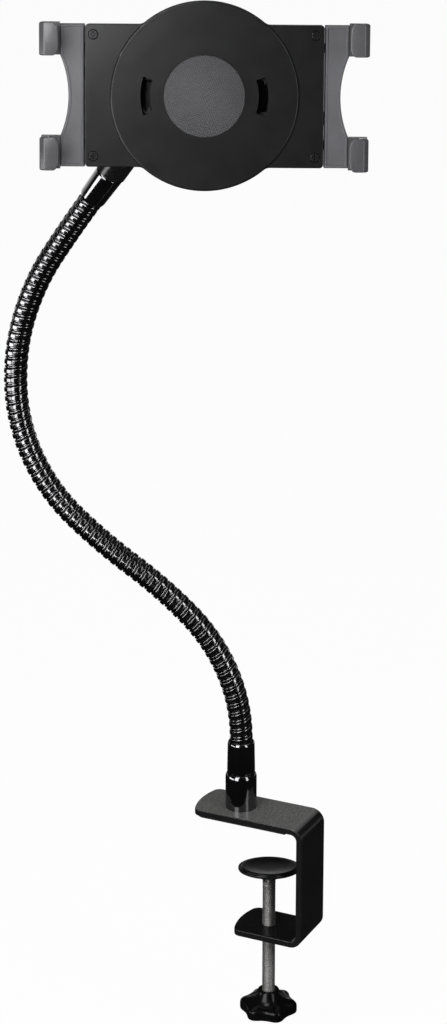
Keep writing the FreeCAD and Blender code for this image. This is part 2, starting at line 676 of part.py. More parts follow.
def pivot_washer(start, thickness):
    """A washer on the pivot bolt."""
    disc = post_x(TILT_WASHER_RADIUS, start, start + thickness, 0, KNUCKLE_REACH)
    return disc.cut(post_x(TILT_BOLT_RADIUS + FIT, start - LAP, start + thickness + LAP, 0, KNUCKLE_REACH))


def tilt_knob():
    """The fluted knob that locks the tilt."""
    far = TILT_KNOB_NEAR + TILT_KNOB_THICKNESS
    body = post_x(TILT_KNOB_RADIUS, TILT_KNOB_NEAR, far, 0, KNUCKLE_REACH)
    rims = [edge for edge in body.Edges if edge.Curve.TypeId == "Part::GeomCircle"]
    body = body.makeChamfer(EDGE_CHAMFER, rims)
    for k in range(TILT_KNOB_FLUTES):
        angle = math.radians(k * 360 / TILT_KNOB_FLUTES)
        y = TILT_KNOB_RADIUS * math.cos(angle)
        z = KNUCKLE_REACH + TILT_KNOB_RADIUS * math.sin(angle)
        body = body.cut(post_x(TILT_KNOB_FLUTE_RADIUS, TILT_KNOB_NEAR - LAP, far + LAP, y, z))
    bore_end = TILT_KNOB_NEAR + TILT_BOLT_IN_KNOB + FIT
    return body.cut(post_x(TILT_BOLT_RADIUS + FIT, TILT_KNOB_NEAR - LAP, bore_end, 0, KNUCKLE_REACH))


# Turning hub, in the holder's frame turned about Y so that X is the tilt axis


def rear_hub():
    """The hub disc, the spigot that turns in the rear cover, and the lug of the tilt pivot."""
    disc = post_y(HUB_RADIUS, HUB_FRONT, HUB_FRONT + HUB_DISC_THICKNESS)
    disc = disc.makeFillet(REAR_EDGE, edges_at_y(disc, HUB_FRONT + HUB_DISC_THICKNESS))
    spigot_end = BAR_BACK + RUN
    spigot = post_y(HUB_SPIGOT_RADIUS, spigot_end, HUB_FRONT + LAP)
    left, right = LUG_NEAR - PIVOT_OFFSET, LUG_FAR - PIVOT_OFFSET
    base_y = HUB_FRONT + HUB_DISC_THICKNESS - LAP
    corners = [
        (base_y, -LUG_BASE_HALF), (base_y, LUG_BASE_HALF),
        (PIVOT_DEPTH, EYE_RADIUS), (PIVOT_DEPTH, -EYE_RADIUS),
    ]
    face = Part.Face(Part.makePolygon([Vector(left, y, z) for y, z in corners + corners[:1]]))
    lug = face.extrude(Vector(right - left, 0, 0)).fuse(post_x(EYE_RADIUS, left, right, PIVOT_DEPTH))
    body = disc.fuse([spigot, lug]).removeSplitter()
    body = body.cut(post_y(HUB_BORE_RADIUS, spigot_end - LAP, HUB_FRONT + LAP))
    clip_front, clip_back = clip_span()
    groove = post_y(HUB_SPIGOT_RADIUS + LAP, clip_front - FIT, clip_back + FIT)
    groove = groove.cut(post_y(HUB_SPIGOT_RADIUS - CLIP_GROOVE_DEPTH, clip_front - LAP, clip_back + LAP))
    return body.cut(groove).cut(post_x(TILT_BOLT_RADIUS + FIT, left - LAP, right + LAP, PIVOT_DEPTH))


def clip_span():
    """The front and back of the clip that holds the hub in the rear cover."""
    back = BACK_FACE - WALL - RUN
    return back - CLIP_THICKNESS, back


def hub_clip():
    """The open spring clip in the spigot's groove, inside the rear cover."""
    front, back = clip_span()
    bore = HUB_SPIGOT_RADIUS - CLIP_GROOVE_DEPTH + FIT
    clip = post_y(CLIP_RADIUS, front, back).cut(post_y(bore, front - LAP, back + LAP))
    half_gap = CLIP_GAP / 2
    return clip.cut(block((-half_gap, half_gap), (front - LAP, back + LAP), (-CLIP_RADIUS - LAP, 0)))


def hub_washer():
    """The slip washer between the hub and the rear cover."""
    disc = post_y(HUB_RADIUS - REAR_EDGE, HUB_WASHER_FRONT, HUB_FRONT)
    return disc.cut(post_y(HUB_SPIGOT_RADIUS + FIT, HUB_WASHER_FRONT - LAP, HUB_FRONT + LAP))


# Holder body


def body_form(inset, front, back):
    """The holder's outline, a plate with the disc standing out above and below, as a prism."""
    half_width = BODY_HALF_WIDTH - inset
    half_height = BODY_HALF_HEIGHT - inset
    radius = DISC_RADIUS - inset
    plate = block((-half_width, half_width), (front, back), (-half_height, half_height))
    both = plate.fuse(post_y(radius, front, back)).removeSplitter()
    meet = math.sqrt(radius ** 2 - half_height ** 2)
    junctions = [(x, z) for x in (-meet, meet) for z in (-half_height, half_height)]
    both = both.makeFillet(DISC_BLEND + inset, edges_along(both, "Y", junctions))
    if inset < BODY_CORNER:
        corners = [(x, z) for x in (-half_width, half_width) for z in (-half_height, half_height)]
        both = both.makeFillet(BODY_CORNER - inset, edges_along(both, "Y", corners))
    return both


def screw_places():
    """Where the four screws go through the body, as (x, z)."""
    return [(x, z) for x in (-SCREW_X, SCREW_X) for z in (-SCREW_Z, SCREW_Z)]


def screw_bosses(front, back, inside):
    """The posts that the screws go through, kept inside this form."""
    return [post_y(SCREW_BOSS_RADIUS, front, back, x, z).common(inside) for x, z in screw_places()]


def side_openings(front, back):
    """What is cut from the side walls for the arms' bars."""
    top = GUIDE_Z + GUIDE_WIDTH / 2 + RUN
    low, high = max(front, BAR_FRONT - RUN), min(back, BAR_BACK + RUN)
    return block((-BODY_HALF_WIDTH - LAP, BODY_HALF_WIDTH + LAP), (low, high), (-top, top))


def runners(front, back, bars_from, bars_to):
    """The moulded ribs that carry the arms' bars between two Y planes, clear of the bars."""
    inside = BODY_HALF_WIDTH - WALL
    guide_edge = GUIDE_Z + GUIDE_WIDTH / 2 + RUN
    thick = RIB_THICKNESS
    ribs = []
    for side in (-1, 1):
        guide = side * guide_edge
        rack = side * (RACK_TOP + RUN)
        ribs.append(block((-RACK_END, RACK_END), (front, back), (rack, rack + side * thick)))
        for end in (-1, 1):
            along = (end * GUIDE_INNER_END, end * (SCREW_X - SCREW_BOSS_RADIUS))
            ribs.append(block(along, (front, back), (guide, guide + side * thick)))
            along = (end * GUIDE_INNER_END, end * (inside + LAP / 2))
            middle = side * GUIDE_Z
            ribs.append(block(along, (bars_from, bars_to), (middle - thick, middle + thick)))
    return ribs


def arc_slot(x_side, front, back):
    """One of the two arc slots beside the centre pad."""
    inner, outer = SLOT_RADIUS - SLOT_WIDTH / 2, SLOT_RADIUS + SLOT_WIDTH / 2
    half = math.radians(SLOT_HALF_SPAN)

    def at(radius, angle):
        return x_side * radius * math.cos(angle), radius * math.sin(angle)

    return plate_y(outline([
        at(inner, half),
        at(inner, 0) + at(inner, -half),
        at(outer, -half),
        at(outer, 0) + at(outer, half),
    ]), front, back)


def front_housing():
    """The front shell, with the bosses for the screws and the pinion's pin."""
    shell = body_form(0, FRONT_FACE, SPLIT)
    shell = shell.makeFillet(DISC_EDGE / 2, edges_at_y(shell, FRONT_FACE))
    inner_face = FRONT_FACE + WALL
    shell = shell.cut(body_form(WALL, inner_face, SPLIT + LAP))
    inside = body_form(WALL / 2, inner_face - LAP, SPLIT)
    bosses = screw_bosses(inner_face - LAP, SPLIT, inside)
    bosses.append(post_y(PINION_BOSS_RADIUS, inner_face - LAP, BAR_FRONT))
    shell = shell.fuse(bosses + runners(inner_face - LAP / 2, SPLIT, inner_face - LAP / 2, BAR_FRONT - RUN))
    shell = shell.removeSplitter().cut(side_openings(FRONT_FACE, SPLIT))
    seat = FRONT_FACE + BODY_SCREW_SEAT
    for x, z in screw_places():
        shell = shell.cut(post_y(BODY_SCREW_HEAD_RADIUS + FIT, FRONT_FACE - LAP, seat, x, z))
        shell = shell.cut(post_y(BODY_SCREW_RADIUS + FIT, FRONT_FACE, SPLIT + LAP, x, z))
    for side in (-1, 1):
        shell = shell.cut(arc_slot(side, FRONT_FACE - LAP, inner_face + LAP))
    return shell.cut(post_y(PINION_PIN_RADIUS, inner_face, SPLIT))


def rear_cover():
    """The rear shell, with the hole that the hub turns in."""
    shell = body_form(0, SPLIT, BACK_FACE)
    shell = shell.makeFillet(REAR_EDGE, edges_at_y(shell, BACK_FACE))
    inner_face = BACK_FACE - WALL
    shell = shell.cut(body_form(WALL, SPLIT - LAP, inner_face))
    inside = body_form(WALL / 2, SPLIT, inner_face + LAP)
    bosses = screw_bosses(SPLIT, inner_face + LAP, inside)
    shell = shell.fuse(bosses + runners(SPLIT, inner_face + LAP / 2, BAR_BACK + RUN, inner_face + LAP / 2))
    clip_front, clip_back = clip_span()
    shell = shell.cut(post_y(CLIP_RADIUS + RUN, clip_front - RUN, clip_back))
    shell = shell.removeSplitter().cut(side_openings(SPLIT, BACK_FACE))
    pilot_end = FRONT_FACE + BODY_SCREW_SEAT + BODY_SCREW_LENGTH + FIT
    for x, z in screw_places():
        shell = shell.cut(post_y(BODY_SCREW_RADIUS + FIT, SPLIT - LAP, pilot_end, x, z))
    return shell.cut(post_y(HUB_SPIGOT_RADIUS + FIT, SPLIT, BACK_FACE + LAP))


def front_disc():
    """The round front plate, with the seat for the centre pad and the two arc slots."""
    disc = post_y(DISC_RADIUS, 0, DISC_THICKNESS)
    disc = disc.makeFillet(DISC_EDGE, edges_at_y(disc, 0))
    disc = disc.cut(post_y(CENTRE_PAD_RADIUS + FIT, -1, CENTRE_PAD_SEAT))
    for side in (-1, 1):
        disc = disc.cut(arc_slot(side, -1, DISC_THICKNESS + LAP))
    return disc


def centre_pad():
    """The textured rubber pad that the tablet rests on."""
    pad = post_y(CENTRE_PAD_RADIUS, -CENTRE_PAD_PROUD, CENTRE_PAD_SEAT)
    return pad.makeChamfer(CENTRE_PAD_PROUD / 2, edges_at_y(pad, -CENTRE_PAD_PROUD))


def body_screws():
    """The four cross-head screws that hold the two shells together."""
    seat = FRONT_FACE + BODY_SCREW_SEAT
    head_front = seat - BODY_SCREW_HEAD_THICKNESS
    depth = (head_front - LAP, head_front + CROSS_DEPTH)
    long_half, thin_half = CROSS_LENGTH / 2, CROSS_WIDTH / 2
    screws = []
    for x, z in screw_places():
        head = post_y(BODY_SCREW_HEAD_RADIUS, head_front, seat, x, z)
        head = head.makeFillet(BODY_SCREW_HEAD_THICKNESS / 3, edges_at_y(head, head_front))
        screw = head.fuse(post_y(BODY_SCREW_RADIUS, seat, seat + BODY_SCREW_LENGTH, x, z))
        for half_x, half_z in ((long_half, thin_half), (thin_half, long_half)):
            screw = screw.cut(block((x - half_x, x + half_x), depth, (z - half_z, z + half_z)))
        screws.append(screw)
    return Part.makeCompound(screws)


def pinion_pin():
    """The headed pin that the pinion turns on, pressed into the front housing."""
    under_head = PINION_BACK + SIDE_PLAY
    head = post_y(PINION_PIN_HEAD_RADIUS, under_head, under_head + PINION_PIN_HEAD_THICKNESS)
    return head.fuse(post_y(PINION_PIN_RADIUS, FRONT_FACE + WALL, under_head)).removeSplitter()


def pinion():
    """The pinion, with involute teeth and one of them pointing straight up."""
    base = PITCH_RADIUS * math.cos(math.radians(PRESSURE_ANGLE))
    tip = PITCH_RADIUS + MODULE
    root = PITCH_RADIUS - PINION_DEDENDUM * MODULE
    thickness = math.pi * MODULE / 2 - BACKLASH / 2

    def involute(angle):
        return math.tan(angle) - angle

    def half_angle(radius):
        at_pitch = thickness / 2 / PITCH_RADIUS + involute(math.radians(PRESSURE_ANGLE))
        return at_pitch - involute(math.acos(min(1.0, base / radius)))

    def at(radius, angle):
        return Vector(radius * math.sin(angle), 0, radius * math.cos(angle))

    steps = 5
    radii = [base + (tip - base) * k / steps for k in range(steps + 1)]
    pitch = 2 * math.pi / PINION_TEETH
    edges = []
    for k in range(PINION_TEETH):
        middle = k * pitch
        foot = half_angle(base)
        rising = [at(radius, middle - half_angle(radius)) for radius in radii]
        falling = [at(radius, middle + half_angle(radius)) for radius in reversed(radii)]
        for points in (rising, falling):
            curve = Part.BSplineCurve()
            curve.interpolate(points)
            edges.append(curve.toShape())
        edges.append(Part.Arc(rising[-1], at(tip, middle), falling[0]).toShape())
        edges.append(Part.LineSegment(at(root, middle - foot), rising[0]).toShape())
        edges.append(Part.LineSegment(falling[-1], at(root, middle + foot)).toShape())
        gap_start, gap_end = middle + foot, middle + pitch - foot
        gap = [at(root, angle) for angle in (gap_start, middle + pitch / 2, gap_end)]
        edges.append(Part.Arc(*gap).toShape())
    wheel = plate_y(edges, PINION_FRONT, PINION_BACK)
    return wheel.cut(post_y(PINION_PIN_RADIUS + FIT, PINION_FRONT - LAP, PINION_BACK + LAP))


# Left arm, in the holder's frame


def rack_bar():
    """The bar with rack teeth on its lower edge that reaches over the pinion."""
    tooth_pitch = math.pi * MODULE
    slope = math.tan(math.radians(PRESSURE_ANGLE))
    half = tooth_pitch / 4 - BACKLASH / 4
    tip_z = PITCH_RADIUS - RACK_ADDENDUM * MODULE
    root_z = PITCH_RADIUS + RACK_DEDENDUM * MODULE
    tip_half = half - RACK_ADDENDUM * MODULE * slope
    root_half = half + RACK_DEDENDUM * MODULE * slope
    corners = [(-ARM_INNER - LAP, RACK_TOP), (-ARM_INNER - LAP, root_z)]
    # Two teeth stand left of the pinion's upright tooth, and the rest to its right
    x = -1.5 * tooth_pitch
    while x + root_half < RACK_END:
        corners += [(x - root_half, root_z), (x - tip_half, tip_z)]
        corners += [(x + tip_half, tip_z), (x + root_half, root_z)]
        x += tooth_pitch
    corners += [(RACK_END, root_z), (RACK_END, RACK_TOP)]
    return plate_y(outline(corners), BAR_FRONT, BAR_BACK)


def claw_hook(side, back):
    """The stiff core of one claw, from its front end to a given back: lower for -1, upper for 1."""
    outer = -CLAW_REACH + PAD_SKIN
    span = (side * (BODY_HALF_HEIGHT - CLAW_HEIGHT + PAD_SKIN), side * BODY_HALF_HEIGHT)
    return block((outer, outer + CLAW_WALL), (CLAW_FRONT, back), span)


def arm_frame():
    """The black arm: its casing, the claws' hooks, two guide bars, the rack and the spring posts."""
    edge_x = CLAW_REACH - CLAW_WIDTH
    claw_z = BODY_HALF_HEIGHT - CLAW_HEIGHT
    top = BODY_HALF_HEIGHT
    body = plate_y(outline([
        (-ARM_INNER, -top), (-CLAW_REACH, -top), (-CLAW_REACH, -claw_z), (-edge_x, -claw_z),
        (-edge_x + ARM_HOLLOW, 0, -edge_x, claw_z), (-CLAW_REACH, claw_z), (-CLAW_REACH, top),
        (-ARM_INNER, top),
    ]), ARM_FRONT, ARM_BACK)
    parts = [rack_bar()]
    half_bar = GUIDE_WIDTH / 2
    half_lug = 2 * SPRING_POST_RADIUS
    for side in (-1, 1):
        parts.append(claw_hook(side, ARM_FRONT + LAP))
        guide = (side * GUIDE_Z - half_bar, side * GUIDE_Z + half_bar)
        parts.append(block((-ARM_INNER - LAP, -GUIDE_INNER_END), (BAR_FRONT, BAR_BACK), guide))
        lug_x = (-SPRING_POST_X - half_lug, -SPRING_POST_X + half_lug)
        lug_z = (side * (SPRING_Z - SPRING_LUG_THICKNESS), side * (GUIDE_Z - half_bar + LAP / 2))
        parts.append(block(lug_x, (BAR_FRONT, BAR_FRONT + SPRING_LUG_THICKNESS), lug_z))
        post_front = BAR_FRONT + SPRING_LUG_THICKNESS / 2
        parts.append(post_y(SPRING_POST_RADIUS, post_front, BAR_BACK, -SPRING_POST_X, side * SPRING_Z))
    return body.fuse(parts).removeSplitter()


def panel_outline(inset):
    """The edge of the arm's panel, or with an inset that of the recess in its front."""
    inner = -ARM_INNER - inset
    outer = -CLAW_REACH + CLAW_WIDTH + inset
    top = BODY_HALF_HEIGHT - inset
    bend = BODY_HALF_HEIGHT - CLAW_HEIGHT
    return outline([
        (inner, -top), (outer, -top), (outer, -bend), (outer + ARM_HOLLOW, 0, outer, bend), (outer, top),
        (inner, top),
    ])


def arm_panel():
    """The grey panel on the arm's front, with its bevelled border."""
    panel = plate_y(panel_outline(0), PANEL_FRONT, ARM_FRONT)
    panel = panel.makeChamfer(PANEL_EDGE, edges_at_y(panel, PANEL_FRONT))
    return panel.cut(plate_y(panel_outline(PANEL_BORDER), PANEL_FRONT - LAP, PANEL_FRONT + PANEL_RECESS))


def claw_pad(side):
    """The rubber channel moulded over one claw's hook, lower for -1 and upper for 1."""
    lip_x = -CLAW_REACH + CLAW_WIDTH
    inner_x = -CLAW_REACH + PAD_SKIN + CLAW_WALL + PAD_WALL
    span = (side * (BODY_HALF_HEIGHT - CLAW_HEIGHT), side * (BODY_HALF_HEIGHT + CLAW_PROUD))
    front = CLAW_FRONT - PAD_PROUD
    lip = block((-CLAW_REACH, lip_x), (front, front + PAD_LIP), span)
    lip = lip.makeFillet(CLAW_CORNER, edges_along(lip, "Y", [(lip_x, span[0]), (lip_x, span[1])]))
    lip = lip.makeChamfer(CLAW_BEVEL, edges_along(lip, "Z", [(-CLAW_REACH, front)]))
    wall = block((-CLAW_REACH, inner_x), (front + CLAW_BEVEL, ARM_FRONT), span)
    foot = block((-CLAW_REACH, lip_x - FIT), (PANEL_FRONT, ARM_FRONT), span)
    return lip.fuse([wall, foot]).removeSplitter().cut(claw_hook(side, ARM_FRONT + LAP))


def return_spring(side):
    """One of the two springs that pull the arms together, an eye on a post at either end."""
    z = side * SPRING_Z
    middle_y = BAR_FRONT + BAR_THICKNESS / 2 + SPRING_SET_BACK
    coil_end = SPRING_POST_X - SPRING_EYE_RADIUS - SPRING_EYE_NECK
    neck_z = (z - SPRING_EYE_NECK, z + SPRING_EYE_NECK)
    eye_span = (middle_y - SPRING_EYE_THICKNESS / 2, middle_y + SPRING_EYE_THICKNESS / 2)
    parts = []
    for end in (-1, 1):
        x = end * SPRING_POST_X
        parts.append(post_y(SPRING_EYE_RADIUS, eye_span[0], eye_span[1], x, z))
        parts.append(block((end * (coil_end - LAP), x), eye_span, neck_z))
    spring = post_x(SPRING_RADIUS, -coil_end, coil_end, middle_y, z).fuse(parts).removeSplitter()
    for end in (-1, 1):
        hole = post_y(SPRING_POST_RADIUS + FIT, eye_span[0] - LAP, eye_span[1] + LAP, end * SPRING_POST_X, z)
        spring = spring.cut(hole)
    return spring


# Placements


def clamp_frame():
    """Where the clamp bracket's own frame stands in the row's."""
    return Placement(Vector(0, 0, 0), Rotation(Vector(0, 0, 1), CLAMP_TURN))


def screw_frame():
    """The clamp screw's axis, still with Z up."""
    return clamp_frame().multiply(Placement(Vector(SCREW_REACH, 0, 0), Rotation()))


def foot_frame():
    """The foot's frame, leaning back on its ball."""
    centre = screw_frame().multVec(Vector(0, 0, BALL_Z))
    lean = Placement(centre, Rotation(Vector(1, 0, 0), -FOOT_TILT))
    return lean.multiply(Placement(Vector(0, 0, -BALL_Z), Rotation()))


def facing():
    """The way the holder's front faces."""
    angle = math.radians(FACE_TILT)
    return Vector(0, -math.cos(angle), math.sin(angle))


def tilt_axis():
    """The tilt pivot's axis, square to the knuckle arm and to the way the holder faces."""
    axis = neck_station(NECK_LENGTH).ahead.cross(facing())
    return axis.normalize()


def knuckle_frame():
    """The knuckle's frame: origin at the top ferrule's mouth, Z along the arm, X the tilt axis."""
    end = neck_station(NECK_LENGTH)
    return frame(end.point - end.ahead * FERRULE_DEPTH, tilt_axis(), end.ahead)


def pivot_point():
    """The middle of the knuckle arm's eye."""
    return knuckle_frame().multVec(Vector(0, 0, KNUCKLE_REACH))


def holder_origin():
    """The middle of the holder's front disc."""
    return pivot_point() + tilt_axis() * PIVOT_OFFSET + facing() * PIVOT_DEPTH


def holder_frame():
    """The holder's frame: X right, Y back, Z up."""
    lean = Rotation(Vector(1, 0, 0), -FACE_TILT)
    return Placement(holder_origin(), lean.multiply(Rotation(Vector(0, 1, 0), FACE_ROLL)))


def hub_frame():
    """The hub's frame: X the tilt axis, Y back."""
    back = facing() * -1
    return Placement(holder_origin(), Rotation(tilt_axis(), back, tilt_axis().cross(back), "YXZ"))


def mirrored_arm(shape):
    """The right arm's version of a left arm's piece: the same part, turned half a turn about Y."""
    copy = shape.copy()
    copy.rotate(Vector(0, 0, 0), Vector(0, 1, 0), 180)
    return copy


def all_nodes():
    """Every node's shape in the row's frame."""
    nodes = placed({"clamp_bracket": clamp_bracket(), "desk_pad": desk_pad()}, clamp_frame())
    nodes.update({"base_screw": base_screw(), "base_socket": base_socket(), "base_ferrule": base_ferrule()})
    nodes.update(placed({
        "foot_bearing": foot_bearing(), "clamp_screw": clamp_screw(), "star_knob": star_knob(),
    }, screw_frame()))
    nodes.update(placed({
        "foot_cup": foot_cup(), "foot_retainer": foot_retainer(), "foot_rubber": foot_rubber(),
    }, foot_frame()))
    for index in range(len(NECK_BENDS)):
        nodes[f"gooseneck_{index + 1}"] = neck_section(index)
    nodes.update(placed({
        "top_ferrule": top_ferrule(), "knuckle_arm": knuckle_arm(), "tilt_bolt": tilt_bolt(),
        "friction_washer": pivot_washer(EYE_THICKNESS / 2, FRICTION_WASHER_THICKNESS),
        "tilt_washer": pivot_washer(LUG_FAR, TILT_WASHER_THICKNESS), "tilt_knob": tilt_knob(),
    }, knuckle_frame()))
    nodes.update(placed({
        "rear_hub": rear_hub(), "hub_clip": hub_clip(), "hub_washer": hub_washer(),
    }, hub_frame()))
    arm = {
        "arm": arm_frame(), "arm_panel": arm_panel(),
        "lower_claw_pad": claw_pad(-1), "upper_claw_pad": claw_pad(1),
    }
    holder = {
        "rear_cover": rear_cover(), "front_housing": front_housing(), "front_disc": front_disc(),
        "centre_pad": centre_pad(), "body_screws": body_screws(), "pinion_pin": pinion_pin(),
        "pinion": pinion(), "upper_return_spring": return_spring(1), "lower_return_spring": return_spring(-1),
    }
    for name, shape in arm.items():
        holder[f"left_{name}"] = shape
    holder["right_arm"] = mirrored_arm(arm["arm"])
    holder["right_arm_panel"] = mirrored_arm(arm["arm_panel"])
    holder["right_upper_claw_pad"] = mirrored_arm(arm["lower_claw_pad"])
    holder["right_lower_claw_pad"] = mirrored_arm(arm["upper_claw_pad"])
    nodes.update(placed(holder, holder_frame()))
    return nodes


def main():
    """Builds every node and writes each to its own STEP file."""
    os.makedirs("parts", exist_ok=True)
    for name, shape in all_nodes().items():
        shape.exportStep(f"parts/{name}.step")
        print(f"{name}: {len(shape.Solids)} solid(s), {shape.Volume:.1f} mm3, valid {shape.isValid()}")


main()
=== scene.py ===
"""Tablet arm mount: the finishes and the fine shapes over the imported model.

Sizes in the classes are in millimetres, as on a drawing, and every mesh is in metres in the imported
model's own frame: Z up, the holder facing -Y, the origin on the gooseneck's base axis.
"""
import json
import logging
import math
from dataclasses import dataclass, field
from enum import Enum
from typing import Callable, Sequence

import bmesh
import bpy
from mathutils import Matrix, Vector


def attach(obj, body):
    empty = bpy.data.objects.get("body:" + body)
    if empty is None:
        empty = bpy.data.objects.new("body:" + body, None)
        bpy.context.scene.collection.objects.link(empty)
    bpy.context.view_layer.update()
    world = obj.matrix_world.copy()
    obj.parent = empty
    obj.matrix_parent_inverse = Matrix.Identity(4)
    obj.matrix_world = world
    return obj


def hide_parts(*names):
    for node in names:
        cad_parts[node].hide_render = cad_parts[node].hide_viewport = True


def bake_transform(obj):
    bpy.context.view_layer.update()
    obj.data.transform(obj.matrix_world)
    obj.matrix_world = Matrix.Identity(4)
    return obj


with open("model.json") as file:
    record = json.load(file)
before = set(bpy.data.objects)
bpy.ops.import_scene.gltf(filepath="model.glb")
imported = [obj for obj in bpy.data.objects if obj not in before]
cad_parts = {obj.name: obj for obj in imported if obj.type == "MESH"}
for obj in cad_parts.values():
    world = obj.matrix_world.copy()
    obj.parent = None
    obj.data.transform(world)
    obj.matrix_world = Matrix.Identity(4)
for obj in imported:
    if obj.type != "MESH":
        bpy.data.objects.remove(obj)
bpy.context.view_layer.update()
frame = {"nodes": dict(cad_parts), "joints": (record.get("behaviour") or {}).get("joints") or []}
MM = 0.001
SHARP_EDGE = math.radians(30)
FLAT_EDGE = math.radians(0.4)
SAME_PLACE_M = 1e-6
CAD_GRAIN_M = 4e-6
NEAR_MM = 0.01
ROUND_STEPS = 96
WIRE_SIDES = 8
WIRE_STEPS = 20
Triple = tuple[float, float, float]
Colour = Triple
Corner = tuple[float, float]
Span = Corner
Shape = list[bmesh.types.BMVert | bmesh.types.BMEdge]
log = logging.getLogger("tablet_arm_mount")


class Slot(str, Enum):
    """The record's material slots."""

    GLOSS_PAINT = "gloss_black_paint"
    NECK = "neck_black"
    SHELL = "shell_black"
    PANEL = "panel_grey"
    GRIP = "grip_rubber"
    PAD = "pad_rubber"
    KNOB = "knob_plastic"
    ZINC = "zinc_steel"
    BLACK_SCREW = "black_screw"
    NYLON = "nylon"


class Value:
    """A number that varies over a surface: Python's operators on it add Math nodes."""

    def __init__(self, graph: "Graph", socket: bpy.types.NodeSocket) -> None:
        """Wraps one output of a node in a shader graph."""
        self.graph = graph
        self.socket = socket

    def maths(self, operation: str, *others: "Value | float") -> "Value":
        """The result of a Math node whose inputs are this value and the others."""
        inputs = dict(enumerate((self, *others)))
        return self.graph.add("ShaderNodeMath", {"operation": operation}, inputs)

    def __add__(self, other: "Value | float") -> "Value":
        """This value plus another."""
        return self.maths("ADD", other)

    def __rsub__(self, other: float) -> "Value":
        """A number less this value."""
        return self.graph.add("ShaderNodeMath", {"operation": "SUBTRACT"}, {0: other, 1: self})

    def __mul__(self, other: "Value | float") -> "Value":
        """This value times another."""
        return self.maths("MULTIPLY", other)

    def sine(self) -> "Value":
        """The sine of this value in radians."""
        return self.maths("SINE")

    def smooth(self, low: float, high: float) -> "Value":
        """A smooth step from 0 where this value is low to 1 where it is high."""
        settings = {"interpolation_type": "SMOOTHSTEP"}
        return self.graph.add("ShaderNodeMapRange", settings, {0: self, 1: low, 2: high})


class Graph:
    """The shader nodes of one material, or of the world."""

    def __init__(self, owner: bpy.types.Material | bpy.types.World) -> None:
        """Starts with no nodes.

        Args:
            owner: The material or world whose nodes these are.
        """
        owner.use_nodes = True
        self.tree = owner.node_tree
        self.tree.nodes.clear()

    def add(
        self,
        kind: str,
        settings: dict[str, object] | None = None,
        inputs: dict[int | str, object] | None = None,
        output: int | str = 0,
    ) -> Value:
        """Adds one node.

        Args:
            kind: The node's type.
            settings: Its own settings, which are set first.
            inputs: Values or links for its sockets, by number or name.
            output: Which output comes back.

        Returns:
            That output.
        """
        node = self.tree.nodes.new(kind)
        for key, value in (settings or {}).items():
            setattr(node, key, value)
        for key, value in (inputs or {}).items():
            if isinstance(value, Value):
                self.tree.links.new(value.socket, node.inputs[key])
            else:
                node.inputs[key].default_value = value
        return Value(self, node.outputs[output] if node.outputs else None)

    def mix(self, factor: Value | float, first: Colour | Value, second: Colour | Value) -> Value:
        """A colour between two others: the first at a factor of 0, the second at 1."""
        ends = [c if isinstance(c, Value) else (*c, 1.0) for c in (first, second)]
        return self.add("ShaderNodeMix", {"data_type": "RGBA"}, {0: factor, 6: ends[0], 7: ends[1]}, 2)

    def place(self, turn: Triple = (0, 0, 0), stretch: Triple = (1, 1, 1)) -> Value:
        """The place on the piece, in metres, turned or stretched for a pattern.

        Args:
            turn: Angles about X, Y and Z in degrees.
            stretch: Factors along X, Y and Z.

        Returns:
            The coordinates.
        """
        spot = self.add("ShaderNodeTexCoord", output="Object")
        angles = tuple(math.radians(angle) for angle in turn)
        inputs = {"Vector": spot, "Rotation": angles, "Scale": stretch}
        return self.add("ShaderNodeMapping", None, inputs)

    def noise(self, where: Value, scale: float, detail: float = 3.0, roughness: float = 0.5) -> Value:
        """A noise between 0 and 1, with scale cells in a metre and detail octaves."""
        inputs = {"Vector": where, "Scale": scale, "Detail": detail, "Roughness": roughness}
        return self.add("ShaderNodeTexNoise", None, inputs)

    def bump(self, height: Value, depth: float) -> Value:
        """A normal bent by a height from 0 to 1, where 1 stands for a depth in millimetres."""
        inputs = {"Strength": 1.0, "Distance": depth * MM, "Height": height}
        return self.add("ShaderNodeBump", None, inputs)

    def along(self, where: Value, axis: str) -> Value:
        """The X, Y or Z of some coordinates."""
        return self.add("ShaderNodeSeparateXYZ", None, {0: where}, axis)

    def principled(self, inputs: dict[str, object]) -> None:
        """Ends a material in a Principled shader with these values or links."""
        surface = self.add("ShaderNodeBsdfPrincipled", None, inputs)
        self.add("ShaderNodeOutputMaterial", None, {"Surface": surface})


